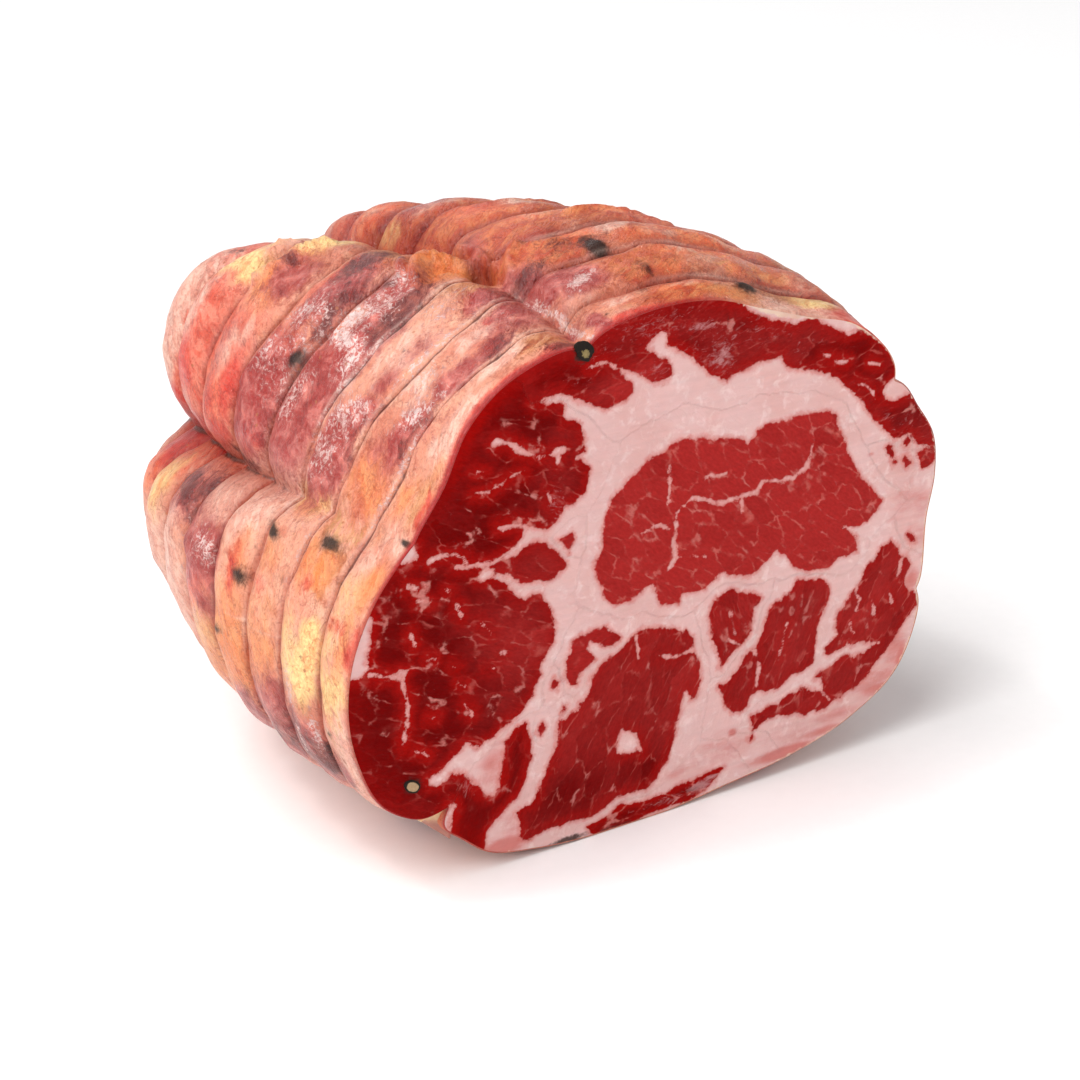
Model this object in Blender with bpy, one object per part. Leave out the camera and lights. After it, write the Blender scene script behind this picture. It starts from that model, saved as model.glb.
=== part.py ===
"""Half of a coppa, the cured neck of pork in its natural casing, cut flat across.

The cut faces -Y, the body runs back along +Y and rests on its flattened underside at z = 0.
The origin is under the middle of the body. Sizes are in millimetres up to the mesh, which is in metres.
"""

import math

import bmesh
import bpy
import numpy as np
from mathutils import Matrix, Vector

MM = 0.001

# The rim of the cut, looked at from the cut side: (across, height), anticlockwise from the right.
RIM = (
    (65.0, 55.0), (64.0, 63.0), (59.0, 70.5), (55.5, 76.0), (50.5, 83.0), (43.0, 88.8), (33.0, 91.8),
    (22.0, 95.3), (11.0, 98.8), (0.0, 99.5), (-9.0, 98.3), (-17.0, 96.2), (-26.0, 94.2), (-34.5, 90.5),
    (-40.5, 85.0), (-45.5, 75.5), (-53.0, 65.5), (-60.0, 56.5), (-64.0, 47.0), (-65.0, 38.5),
    (-63.3, 28.5), (-58.5, 19.0), (-50.5, 13.5), (-44.0, 9.0), (-37.0, 3.6), (-27.0, 1.2), (-14.0, 0.0),
    (2.0, 0.0), (18.0, 1.6), (33.0, 3.6), (47.0, 7.8), (57.5, 14.5), (62.5, 25.0), (63.3, 36.0), (63.5, 46.0),
)
RIM_CENTRE = (0.0, 48.0)

LENGTH = 124.0          # from the cut to the dimple at the rear, before the lobes reach past it
GIRTH_RADIUS = 55.0     # mean radius, which sets even steps along the side and round the rear
DOME_POWER = 3.2        # how squarely the side turns into the rear

# Radius as a share of the rim's, by direction (degrees) and depth behind the cut.
BULK_DEPTHS = (0.0, 30.0, 60.0, 90.0, 118.0)
BULK = {
    0: (1.00, 1.03, 1.00, 0.94, 0.90),
    40: (1.00, 1.10, 1.09, 1.00, 0.93),
    70: (1.00, 1.15, 1.12, 1.00, 0.91),
    95: (1.00, 1.11, 1.14, 1.13, 1.12),
    120: (1.00, 1.06, 1.12, 1.16, 1.17),
    140: (1.00, 1.04, 1.09, 1.15, 1.20),
    160: (1.00, 1.03, 1.05, 1.08, 1.11),
    190: (1.00, 1.03, 1.02, 0.98, 0.96),
    225: (1.00, 1.03, 1.02, 0.98, 0.95),
    270: (1.00, 1.05, 1.09, 1.12, 1.06),
    315: (1.00, 1.01, 0.98, 0.93, 0.90),
}
# How far each side reaches back, as a share of LENGTH, by direction.
REACH = (
    (0, 0.98), (45, 0.98), (90, 1.03), (118, 1.02), (135, 1.05), (150, 1.065), (168, 1.02), (195, 1.02),
    (240, 1.0), (300, 0.98),
)
# The middle of the rings wanders a little: (depth, place).
AXIS_ACROSS = ((0, 0.0), (60, -2.0), (118, -6.0))
AXIS_HEIGHT = ((0, 48.0), (60, 49.0), (118, 50.0))

# Imprints of the string, by distance behind the cut along the skin.
RINGS = (12.0, 25.0, 37.5, 52.0, 66.5, 81.0, 95.5, 110.0, 126.0)
HIDDEN_RING = -10.0     # the ring that the cut took away, so the rim lies on the crown of its band
RING_LEAN = (1.0, 2.5)  # a ring lies this much nearer the cut all round, and again at its top
# Between two folds the taut string took the short way, which draws a ring towards the cut: (direction, shift).
RING_BOW = (
    (30, 0.0), (60, -1.0), (78, -3.0), (92, -3.0), (104, 0.0), (113, -1.5), (121, -4.5), (131, -5.0),
    (138, -3.5), (145, 0.5), (157, 1.0), (167, 0.0), (176, -1.5), (186, -3.0), (215, -3.0), (250, -1.0),
    (300, 0.0),
)
RING_DEPTH = (1.5, 2.4) # near the cut and towards the rear
PILLOW_POWER = 0.5      # lower is a narrower crease between fuller bands

# Lengthwise folds: the direction, depth and half width of each, as (depth behind the cut, value).
FOLDS = {
    "top": (
        ((0, 109.5), (30, 107), (55, 106), (80, 106), (118, 108)),
        ((0, 1.5), (8, 3.0), (30, 3.0), (55, 6.0), (80, 9.0), (105, 11.0), (118, 9.0)),
        ((0, 2.5), (40, 3.5), (60, 5.0), (118, 6.5)),
    ),
    "left": (
        ((0, 160), (30, 163), (60, 166), (90, 169), (118, 172)),
        ((0, 0.5), (20, 1.0), (40, 4.0), (70, 9.0), (90, 12.0), (118, 8.0)),
        ((0, 2.0), (30, 3.0), (60, 5.0), (118, 8.0)),
    ),
    "under": (
        ((0, 215.8), (30, 219), (118, 225)),
        ((0, 4.5), (12, 3.5), (30, 2.0), (60, 1.5), (118, 2.0)),
        ((0, 1.6), (30, 3.0), (118, 5.0)),
    ),
    "low_right": (
        ((0, 345), (30, 346), (118, 352)),
        ((0, 1.2), (20, 1.2), (60, 2.0), (118, 5.0)),
        ((0, 1.8), (60, 4.0), (118, 7.0)),
    ),
    "high_right": (
        ((0, 387.5), (30, 389), (118, 395)),
        ((0, 1.8), (20, 1.5), (60, 2.0), (118, 4.0)),
        ((0, 2.0), (60, 4.0), (118, 6.0)),
    ),
}
FOLD_POWER = 1.3        # between a pointed crease at 1 and a round dip at 2
FOLD_LEAST_RADIUS = 5.0 # nearer the tip than this a fold keeps its width in degrees
PUCKERS = 11            # folds that gather the casing at the rear
PUCKER_DEPTH = 0.9
DIMPLE_DEPTH = 5.0      # the gathered middle of the rear lies this much in front of its lobes

# Where a feature comes in: it is nothing at the first value and full at the second.
# These go by the distance run behind the cut (the bow fades again towards the rear):
LEAN_BY_RUN = (0.0, 10.0)
BOW_BY_RUN = (0.0, 22.0)
BOW_FADES_BY_RUN = (65.0, 110.0)
CREASE_BY_RUN = (0.0, 5.0)
RINGS_DEEPEN_BY_RUN = (20.0, 80.0)
# this by the share of the length:
REACH_BY_LENGTH = (0.2, 0.9)
# and these by the share of the radius that is left towards the tip. The last two fade again from the tip out.
LEAN_BY_RADIUS = (0.0, 0.6)
CREASE_BY_RADIUS = (0.05, 0.4)
FOLD_BY_RADIUS = (0.0, 0.55)
PUCKER_BY_RADIUS = (0.0, 0.12)
PUCKER_FADES_BY_RADIUS = (0.1, 0.6)
DIMPLE_FADES_BY_RADIUS = (0.0, 0.5)

# Steps of the skin: columns between one fold and the next, in the order of FOLDS, and rows to a band.
COLUMNS = (14, 15, 29, 12, 19)
BAND_ROWS = 6
TIP_ROWS = 7
CROWDING = 0.6          # draws columns to the folds and rows to the rings: 0 is even

# Peppercorns, placed as (across, behind the cut, height). One sits in the top fold, just behind the cut.
# The other was cut through with the meat, and its half has dried less and stands a little proud.
PEPPERCORN_RADIUS = 1.8
PEPPERCORN_IN_FOLD = (-17.2, 1.85, 95.2)
CUT_PEPPERCORN = (-53.0, 1.2, 22.0)
CUT_PEPPERCORN_TALLNESS = 0.75
CUT_PEPPERCORN_PROUD = 0.3
# Cracked pepper under the casing: (direction, distance behind the cut along the skin, half width).
PEPPER_SPOTS = (
    (166.0, 18.5, 1.7), (178.5, 38.0, 1.4), (168.5, 35.0, 1.1), (186.5, 40.0, 1.2), (140.5, 50.5, 1.6),
    (88.0, 26.0, 1.9), (86.5, 14.5, 1.4), (63.5, 11.0, 2.2), (20.0, 58.0, 1.6), (300.0, 44.0, 1.4),
    (330.0, 86.0, 1.7), (75.0, 76.0, 1.5),
)
SPOT_FLATNESS = 0.4     # height of a spot as a share of its half width
SPOT_STEP = 0.5         # how far to each side the slope under a spot is read

SHARP_ANGLE = 32.0      # steeper edges are shaded sharp, such as the rim of the cut


def smoothstep(low, high, x):
    """0 below low, 1 above high, with a smooth rise between."""
    share = np.clip((np.asarray(x, float) - low) / (high - low), 0.0, 1.0)
    return share * share * (3.0 - 2.0 * share)


def curve_through(x, table):
    """Smooth curve through (x, value) pairs, level beyond both ends."""
    at = np.array([pair[0] for pair in table], float)
    value = np.array([pair[1] for pair in table], float)
    slope = np.gradient(value, at)
    x = np.clip(np.asarray(x, float), at[0], at[-1])
    i = np.clip(np.searchsorted(at, x, side="right") - 1, 0, len(at) - 2)
    span = at[i + 1] - at[i]
    t = (x - at[i]) / span
    start = (1.0 + 2.0 * t) * (1.0 - t) ** 2 * value[i] + t * (1.0 - t) ** 2 * span * slope[i]
    end = t * t * (3.0 - 2.0 * t) * value[i + 1] + t * t * (t - 1.0) * span * slope[i + 1]
    return start + end


def curve_round(angle, table):
    """Smooth closed curve through (degrees, value) pairs."""
    pairs = sorted(table)
    before = [(degrees - 360.0, value) for degrees, value in pairs[-3:]]
    after = [(degrees + 360.0, value) for degrees, value in pairs[:3]]
    return curve_through(np.mod(angle, 360.0), before + pairs + after)


def rim_radius(angle):
    """Distance of the rim from its centre, by direction."""
    across, height = RIM_CENTRE
    table = []
    for x, z in RIM:
        direction = math.degrees(math.atan2(z - height, x - across)) % 360.0
        table.append((direction, math.hypot(x - across, z - height)))
    return curve_round(angle, table)


def bulk(angle, depth):
    """Radius as a share of the rim's, by direction and depth."""
    table = []
    for direction, shares in BULK.items():
        table.append((direction, float(curve_through(depth, tuple(zip(BULK_DEPTHS, shares))))))
    return curve_round(angle, table)


def meridian(steps=4000):
    """A line from the rim to the tip of the rear: distance run, share of the length, share of the radius."""
    turn = np.linspace(0.0, math.pi / 2.0, steps + 1)
    along = np.sin(turn) ** (2.0 / DOME_POWER)
    out = np.cos(turn) ** (2.0 / DOME_POWER)
    step = np.hypot(np.diff(along) * LENGTH, np.diff(out) * GIRTH_RADIUS)
    return np.concatenate([[0.0], np.cumsum(step)]), along, out


RUN, ALONG, OUT = meridian()


def crease(run):
    """0 on the crown of a band between two rings, 1 on a ring."""
    edges = (HIDDEN_RING,) + RINGS + (2.0 * RUN[-1] - RINGS[-1],)
    k = int(np.clip(np.searchsorted(edges, run, side="right") - 1, 0, len(edges) - 2))
    place = (run - edges[k]) / (edges[k + 1] - edges[k])
    return 1.0 - (4.0 * place * (1.0 - place)) ** PILLOW_POWER


def fold_dip(angle, depth, radius):
    """How deep the lengthwise folds are at each direction of one ring."""
    dip = np.zeros(len(angle))
    for path, depths, widths in FOLDS.values():
        aside = (angle - curve_through(depth, path) + 180.0) % 360.0 - 180.0
        aside = np.radians(aside) * np.maximum(radius, FOLD_LEAST_RADIUS)
        width = curve_through(depth, widths)
        dip = dip + curve_through(depth, depths) * np.exp(-np.abs(aside / width) ** FOLD_POWER)
    return dip


def skin_ring(angle, run, proud=0.0):
    """Points of the skin in millimetres behind the cut, at several directions and one distance run."""
    along = float(np.interp(run, RUN, ALONG))
    out = float(np.interp(run, RUN, OUT))
    depth = along * LENGTH
    whole = smoothstep(*LEAN_BY_RADIUS, out)
    lean = -(RING_LEAN[0] + RING_LEAN[1] * np.sin(np.radians(angle))) * smoothstep(*LEAN_BY_RUN, run) * whole
    bowed = smoothstep(*BOW_BY_RUN, run) * (1.0 - smoothstep(*BOW_FADES_BY_RUN, run))
    lean = lean + curve_round(angle, RING_BOW) * bowed
    reach = 1.0 + (curve_round(angle, REACH) - 1.0) * smoothstep(*REACH_BY_LENGTH, along) * whole
    radius = rim_radius(angle) * bulk(angle, depth) * out
    side = out ** (DOME_POWER - 1.0) / GIRTH_RADIUS
    back = along ** (DOME_POWER - 1.0) / LENGTH
    tilt = math.hypot(side, back)
    ring_depth = RING_DEPTH[0] + (RING_DEPTH[1] - RING_DEPTH[0]) * smoothstep(*RINGS_DEEPEN_BY_RUN, run)
    creased = smoothstep(*CREASE_BY_RUN, run) * smoothstep(*CREASE_BY_RADIUS, out)
    dip = crease(run) * ring_depth * creased - proud
    dip = dip + fold_dip(angle, depth, radius) * smoothstep(*FOLD_BY_RADIUS, out)
    gather = (1.0 - smoothstep(*PUCKER_FADES_BY_RADIUS, out)) * smoothstep(*PUCKER_BY_RADIUS, out)
    dip = dip + PUCKER_DEPTH * gather * (1.0 + np.cos(np.radians(angle) * PUCKERS))
    dip = dip + DIMPLE_DEPTH * (1.0 - smoothstep(*DIMPLE_FADES_BY_RADIUS, out))
    radius = np.maximum(radius - dip * side / tilt, 0.0)
    across = curve_through(depth, AXIS_ACROSS) + radius * np.cos(np.radians(angle))
    height = curve_through(depth, AXIS_HEIGHT) + radius * np.sin(np.radians(angle))
    behind = depth * reach + lean - dip * back / tilt
    return np.stack([across, behind, np.maximum(height, 0.0)], -1)


def crowd(count):
    """Shares from 0 up to 1, without the 1, closer together at both ends."""
    share = np.arange(count) / count
    return share - CROWDING * np.sin(2.0 * math.pi * share) / (2.0 * math.pi)


def column_angles(depth):
    """Directions of the columns at one depth: they run with the folds from the rim to the rear."""
    lines = [float(curve_through(depth, path)) for path, depths, widths in FOLDS.values()]
    lines.append(lines[0] + 360.0)
    angles = []
    for start, end, count in zip(lines[:-1], lines[1:], COLUMNS):
        angles.extend(start + (end - start) * crowd(count))
    return np.array(angles)


def row_runs():
    """Distances behind the cut at which the skin has a row, the rings among them."""
    edges = (0.0,) + RINGS
    runs = []
    for start, end in zip(edges[:-1], edges[1:]):
        runs.extend(start + (end - start) * crowd(BAND_ROWS))
    tip = RUN[-1] - RINGS[-1]
    runs.extend(RINGS[-1] + tip * np.arange(TIP_ROWS) / TIP_ROWS)
    return runs


def placed(point):
    """A point in millimetres behind the cut, as a place in the part's own frame in metres."""
    return Vector((point[0] + SHIFT_ACROSS, point[1] + SHIFT_BACK, point[2])) * MM


def body_rings():
    """The rows of the skin, from the rim to just before the tip."""
    rings = []
    for run in row_runs():
        depth = float(np.interp(run, RUN, ALONG)) * LENGTH
        rings.append(skin_ring(column_angles(depth), run))
    return rings


def tip_point():
    """The middle of the dimple at the rear."""
    return skin_ring(np.zeros(1), RUN[-1])[0]


BODY_RINGS = body_rings()
LOW = np.min(np.concatenate(BODY_RINGS), axis=0)
HIGH = np.max(np.concatenate(BODY_RINGS), axis=0)
SHIFT_ACROSS = -(LOW[0] + HIGH[0]) / 2.0
SHIFT_BACK = -(HIGH[1] - CUT_PEPPERCORN_PROUD) / 2.0


def make_material(name, colour, roughness):
    """A plain surface of one colour."""
    material = bpy.data.materials.new(name)
    material.use_nodes = True
    shader = material.node_tree.nodes["Principled BSDF"]
    shader.inputs["Base Color"].default_value = (*colour, 1.0)
    shader.inputs["Roughness"].default_value = roughness
    shader.inputs["Metallic"].default_value = 0.0
    material.diffuse_color = (*colour, 1.0)
    return material


def new_object(mesh, name, collection):
    """An object for a finished mesh."""
    obj = bpy.data.objects.new(name, mesh)
    collection.objects.link(obj)
    return obj


def build_body(collection, casing, meat):
    """The loft through all rings, closed by the flat cut in front and by the dimple behind."""
    bm = bmesh.new()
    rings = [[bm.verts.new(placed(point)) for point in ring] for ring in BODY_RINGS]
    middle = bm.verts.new(placed((RIM_CENTRE[0], 0.0, RIM_CENTRE[1])))
    tip = bm.verts.new(placed(tip_point()))
    count = len(rings[0])
    for i in range(count):
        j = (i + 1) % count
        face = bm.faces.new((middle, rings[0][i], rings[0][j]))
        face.material_index = 1
        for near, far in zip(rings[:-1], rings[1:]):
            bm.faces.new((near[i], far[i], far[j], near[j]))
        bm.faces.new((rings[-1][i], tip, rings[-1][j]))
    bmesh.ops.recalc_face_normals(bm, faces=bm.faces)
    mesh = bpy.data.meshes.new("coppa")
    bm.to_mesh(mesh)
    bm.free()
    mesh.materials.append(casing)
    mesh.materials.append(meat)
    return new_object(mesh, "coppa", collection)


def ball(name, centre, scale, collection, material, subdivisions=2):
    """A small round grain, pressed to its three half widths in metres, with its axes turned as given."""
    bm = bmesh.new()
    bmesh.ops.create_icosphere(bm, subdivisions=subdivisions, radius=1.0)
    bmesh.ops.transform(bm, matrix=Matrix.Translation(centre) @ scale, verts=bm.verts)
    mesh = bpy.data.meshes.new(name)
    bm.to_mesh(mesh)
    bm.free()
    mesh.materials.append(material)
    return new_object(mesh, name, collection)


def spot_frame(direction, run):
    """Place on the skin in metres, and the outward direction there."""
    here = placed(skin_ring(np.array([direction]), run)[0])
    beside = placed(skin_ring(np.array([direction + SPOT_STEP]), run)[0]) - here
    behind = placed(skin_ring(np.array([direction]), run + SPOT_STEP)[0]) - here
    outward = behind.cross(beside).normalized()
    return here, outward


def build_pepper(collection, pepper):
    """Peppercorns in the fold and in the cut, and cracked pepper that stands proud under the casing."""
    radius = PEPPERCORN_RADIUS * MM
    whole = Matrix.Diagonal((radius, radius, radius, 1.0))
    ball("peppercorn_in_fold", placed(PEPPERCORN_IN_FOLD), whole, collection, pepper)
    deep = (CUT_PEPPERCORN[1] + CUT_PEPPERCORN_PROUD) * MM
    flat = Matrix.Diagonal((radius, deep, radius * CUT_PEPPERCORN_TALLNESS, 1.0))
    ball("peppercorn_in_cut", placed(CUT_PEPPERCORN), flat, collection, pepper)
    for index, (direction, run, half_width) in enumerate(PEPPER_SPOTS):
        here, outward = spot_frame(direction, run)
        turned = outward.to_track_quat("Z", "X").to_matrix().to_4x4()
        size = half_width * MM
        low = turned @ Matrix.Diagonal((size, size, size * SPOT_FLATNESS, 1.0))
        ball(f"pepper_spot_{index}", here, low, collection, pepper, subdivisions=1)


def fuse(body, grains):
    """One solid of the body and all grains on it."""
    union = body.modifiers.new("fused grains", "BOOLEAN")
    union.operation = "UNION"
    union.operand_type = "COLLECTION"
    union.collection = grains
    union.solver = "EXACT"
    graph = bpy.context.evaluated_depsgraph_get()
    mesh = bpy.data.meshes.new_from_object(body.evaluated_get(graph), depsgraph=graph)
    body.modifiers.remove(union)
    body.data = mesh
    for grain in list(grains.objects):
        bpy.data.objects.remove(grain)
    bpy.data.collections.remove(grains)


def main():
    for obj in list(bpy.data.objects):
        bpy.data.objects.remove(obj)
    parts = bpy.data.collections.new("coppa")
    grains = bpy.data.collections.new("grains")
    bpy.context.scene.collection.children.link(parts)
    bpy.context.scene.collection.children.link(grains)
    casing = make_material("natural_casing", (0.80, 0.42, 0.28), 0.42)
    meat = make_material("cured_meat", (0.36, 0.03, 0.03), 0.38)
    pepper = make_material("black_pepper", (0.03, 0.025, 0.02), 0.7)
    body = build_body(parts, casing, meat)
    build_pepper(grains, pepper)
    fuse(body, grains)
    body.data.shade_smooth()
    body.data.set_sharp_from_angle(angle=math.radians(SHARP_ANGLE))


main()
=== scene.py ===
"""Half of a coppa in its natural casing, cut flat across, as it shows on a pale floor in soft studio light.

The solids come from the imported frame. This script gives them their looks: the tied casing, the marbled cut
face, the peppercorns and the film of casing in the lower notch. Sizes are in millimetres up to the meshes,
which are in metres.
"""

import itertools
import logging
import math
from collections.abc import Callable
from dataclasses import dataclass, field
from enum import Enum
from functools import partial

import bmesh
import bpy
import numpy as np
from mathutils import Euler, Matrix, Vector


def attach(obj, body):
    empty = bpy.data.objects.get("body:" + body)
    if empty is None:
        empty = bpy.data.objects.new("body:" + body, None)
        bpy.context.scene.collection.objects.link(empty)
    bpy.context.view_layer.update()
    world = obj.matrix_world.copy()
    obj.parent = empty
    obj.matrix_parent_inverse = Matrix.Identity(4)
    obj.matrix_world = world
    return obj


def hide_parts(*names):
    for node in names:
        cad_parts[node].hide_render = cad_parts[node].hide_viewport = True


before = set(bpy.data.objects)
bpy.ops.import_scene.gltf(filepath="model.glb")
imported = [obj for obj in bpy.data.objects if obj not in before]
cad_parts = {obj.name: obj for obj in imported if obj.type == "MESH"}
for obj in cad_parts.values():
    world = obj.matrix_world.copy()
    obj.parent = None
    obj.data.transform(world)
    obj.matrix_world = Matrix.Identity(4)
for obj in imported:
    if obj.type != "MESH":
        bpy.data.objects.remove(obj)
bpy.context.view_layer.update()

log = logging.getLogger("coppa")

MM = 0.001
BODY = "root"
NODE = "coppa"
# Millimetres along the girth for one degree.
DEGREE = 0.87
# A spot falls to half its strength at its half size: exp(-0.69) is a half.
HALVING = 0.69

Pair = tuple[float, float]
Table = tuple[Pair, ...]
Rows = tuple[tuple[float, ...], ...]

# Settings that many nodes share. Inputs 1 to 4 of a Map Range are its two ends in and its two ends out.
SMOOTH = {"interpolation_type": "SMOOTHSTEP"}
PLUS = {"operation": "ADD"}
TIMES = {"operation": "MULTIPLY"}
TIMES_PLUS = {"operation": "MULTIPLY_ADD"}
BLEND = {"data_type": "RGBA"}
DARKEN = {"data_type": "RGBA", "blend_type": "MULTIPLY"}
# Inputs of a mix of colours: how much of the upper one, the lower one and the upper one.
SHARE, UNDER, OVER = 0, 6, 7


# Small tools.


def smoothstep(low: float, high: float, x: np.ndarray | float) -> np.ndarray:
    """0 below low, 1 above high, with a smooth rise between.

    Args:
        low: where the rise starts.
        high: where it ends.
        x: the values.

    Returns:
        The share of the rise at each value.
    """
    share = np.clip((np.asarray(x, float) - low) / (high - low), 0.0, 1.0)
    return share * share * (3.0 - 2.0 * share)


def curve_through(x: np.ndarray | float, table: Table) -> np.ndarray:
    """Smooth curve through (x, value) pairs, level beyond both ends.

    Args:
        x: where to read the curve.
        table: the pairs, by rising x.

    Returns:
        The value of the curve at each x.
    """
    at = np.array([pair[0] for pair in table], float)
    value = np.array([pair[1] for pair in table], float)
    slope = np.gradient(value, at)
    x = np.clip(np.asarray(x, float), at[0], at[-1])
    i = np.clip(np.searchsorted(at, x, side="right") - 1, 0, len(at) - 2)
    span = at[i + 1] - at[i]
    t = (x - at[i]) / span
    start = (1.0 + 2.0 * t) * (1.0 - t) ** 2 * value[i] + t * (1.0 - t) ** 2 * span * slope[i]
    end = t * t * (3.0 - 2.0 * t) * value[i + 1] + t * t * (t - 1.0) * span * slope[i + 1]
    return start + end


def curve_round(angle: np.ndarray, table: Table) -> np.ndarray:
    """Smooth closed curve through (degrees, value) pairs.

    Args:
        angle: directions in degrees.
        table: the pairs.

    Returns:
        The value in each direction.
    """
    pairs = sorted(table)
    before = [(degrees - 360.0, value) for degrees, value in pairs[-3:]]
    after = [(degrees + 360.0, value) for degrees, value in pairs[:3]]
    return curve_through(np.mod(angle, 360.0), before + pairs + after)


def soft_noise(points: np.ndarray, size: float, seed: int) -> np.ndarray:
    """Smooth seeded noise between -1 and 1.

    Args:
        points: places, with three numbers each.
        size: distance over which the noise changes.
        seed: picks one noise out of many.

    Returns:
        One value for each place.
    """
    lattice = np.random.default_rng(seed).uniform(-1.0, 1.0, (32, 32, 32))
    place = points / size
    cell = np.floor(place).astype(int)
    share = place - cell
    share = share * share * (3.0 - 2.0 * share)
    total = np.zeros(points.shape[:-1])
    for corner in itertools.product((0, 1), repeat=3):
        step = np.array(corner)
        weight = np.prod(np.where(step == 1, share, 1.0 - share), axis=-1)
        near = (cell + step) % 32
        total = total + weight * lattice[near[..., 0], near[..., 1], near[..., 2]]
    return total


def distance_to_line(points: np.ndarray, line: np.ndarray, closed: bool) -> np.ndarray:
    """Distance from each point to a line through several points.

    Args:
        points: places, with two numbers each.
        line: the points of the line.
        closed: whether the last point joins the first.

    Returns:
        One distance for each place.
    """
    ends = np.roll(line, -1, axis=0) if closed else line[1:]
    starts = line if closed else line[:-1]
    best = np.full(len(points), 1e9)
    for a, b in zip(starts, ends):
        along = b - a
        t = np.clip((points - a) @ along / max(along @ along, 1e-9), 0.0, 1.0)
        best = np.minimum(best, np.hypot(*(points - a - t[:, None] * along).T))
    return best


def inside_of(points: np.ndarray, outline: np.ndarray) -> np.ndarray:
    """Distance to a closed outline: above zero inside it and below zero outside.

    Args:
        points: places, with two numbers each.
        outline: the points of the outline.

    Returns:
        One distance for each place.
    """
    inside = np.zeros(len(points), bool)
    for a, b in zip(outline, np.roll(outline, -1, axis=0)):
        crosses = (a[1] > points[:, 1]) != (b[1] > points[:, 1])
        rise = b[1] - a[1] if b[1] != a[1] else 1e-9
        crosses &= points[:, 0] < (b[0] - a[0]) * (points[:, 1] - a[1]) / rise + a[0]
        inside ^= crosses
    distance = distance_to_line(points, outline, closed=True)
    return np.where(inside, distance, -distance)


def bell(apart: np.ndarray, half_width: np.ndarray | float) -> np.ndarray:
    """1 in the middle of something, sinking smoothly to nothing beside it."""
    return np.exp(-((apart / half_width) ** 2))


def turn_between(angle: np.ndarray, other: np.ndarray | float) -> np.ndarray:
    """The turn from the other direction to this one, between -180 and 180 degrees."""
    return (angle - other + 180.0) % 360.0 - 180.0


def around(angle: np.ndarray, along: np.ndarray, radius: float) -> np.ndarray:
    """Places on a tube, which close round it.

    Args:
        angle: directions in degrees.
        along: distances along the tube.
        radius: its radius.

    Returns:
        Places, with three numbers each.
    """
    turned = np.radians(angle)
    return np.stack([radius * np.cos(turned), along, radius * np.sin(turned)], -1)


def linear(code: str) -> tuple[float, float, float, float]:
    """An sRGB hex colour as the linear values that a shader takes.

    Args:
        code: the colour, such as "#efab8a".

    Returns:
        Red, green, blue and an opaque alpha.
    """
    channels = []
    for start in (1, 3, 5):
        value = int(code[start:start + 2], 16) / 255.0
        value = value / 12.92 if value <= 0.04045 else ((value + 0.055) / 1.055) ** 2.4
        channels.append(value)
    return (*channels, 1.0)


def per_mm(size: float) -> float:
    """Noise scale, on coordinates in metres, for detail of a size in millimetres."""
    return 1.0 / (size * MM)


def plug(node: bpy.types.Node, links: dict) -> None:
    """Feeds the inputs of a node.

    Args:
        node: the node.
        links: for each input, by name or number, what feeds it: a node, one output or a plain value.
    """
    for socket, source in links.items():
        if isinstance(source, bpy.types.Node):
            source = next(output for output in source.outputs if output.enabled)
        if isinstance(source, bpy.types.NodeSocket):
            node.id_data.links.new(source, node.inputs[socket])
        else:
            node.inputs[socket].default_value = source


def add_node(tree: bpy.types.NodeTree, kind: str, links: dict | None = None, **settings) -> bpy.types.Node:
    """Adds one shader node with its settings and links.

    Args:
        tree: the node tree that it goes into.
        kind: Blender's name for the kind of node, without its first word.
        links: what feeds its inputs, as for plug.
        settings: the node's own properties.

    Returns:
        The node.
    """
    node = tree.nodes.new("ShaderNode" + kind)
    for name, value in settings.items():
        setattr(node, name, value)
    plug(node, links or {})
    return node


def new_material(name: str) -> tuple[bpy.types.Material, partial, bpy.types.Node]:
    """A material with its shader.

    Args:
        name: what the surface is made of.

    Returns:
        The material, what adds a node to it, and its Principled shader.
    """
    material = bpy.data.materials.new(name)
    material.use_nodes = True
    return material, partial(add_node, material.node_tree), material.node_tree.nodes["Principled BSDF"]


def store(mesh: bpy.types.Mesh, name: str, values: np.ndarray) -> None:
    """Keeps one value, or one vector, for each vertex of a mesh.

    Args:
        mesh: the mesh.
        name: the attribute's name, which the material reads.
        values: one row for each vertex.
    """
    kind, key = ("FLOAT", "value") if values.ndim == 1 else ("FLOAT_VECTOR", "vector")
    attribute = mesh.attributes.new(name, kind, "POINT")
    attribute.data.foreach_set(key, np.asarray(values, np.float32).ravel())


def vertex_places(mesh: bpy.types.Mesh) -> np.ndarray:
    """Where the vertices of a mesh are.

    Args:
        mesh: the mesh.

    Returns:
        One row for each vertex.
    """
    flat = np.empty(len(mesh.vertices) * 3)
    mesh.vertices.foreach_get("co", flat)
    return flat.reshape(-1, 3)


def deselect_all() -> None:
    """Leaves nothing selected, since an operator acts on all that is."""
    bpy.ops.object.select_all(action="DESELECT")


def select_edges(obj: bpy.types.Object, wanted: Callable[[bmesh.types.BMEdge], bool]) -> None:
    """Selects some edges of the object in edit mode and nothing else.

    Args:
        obj: the object.
        wanted: says of an edge whether it is one of them.
    """
    bpy.ops.mesh.select_mode(type="EDGE")
    bpy.ops.mesh.select_all(action="DESELECT")
    bm = bmesh.from_edit_mesh(obj.data)
    for edge in bm.edges:
        edge.select = wanted(edge)
    bm.select_flush_mode()
    bmesh.update_edit_mesh(obj.data)


def close_edit() -> None:
    """Turns all faces of the mesh in edit mode outwards and goes back to object mode."""
    bpy.ops.mesh.select_all(action="SELECT")
    bpy.ops.mesh.normals_make_consistent(inside=False)
    bpy.ops.object.mode_set(mode="OBJECT")


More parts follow.
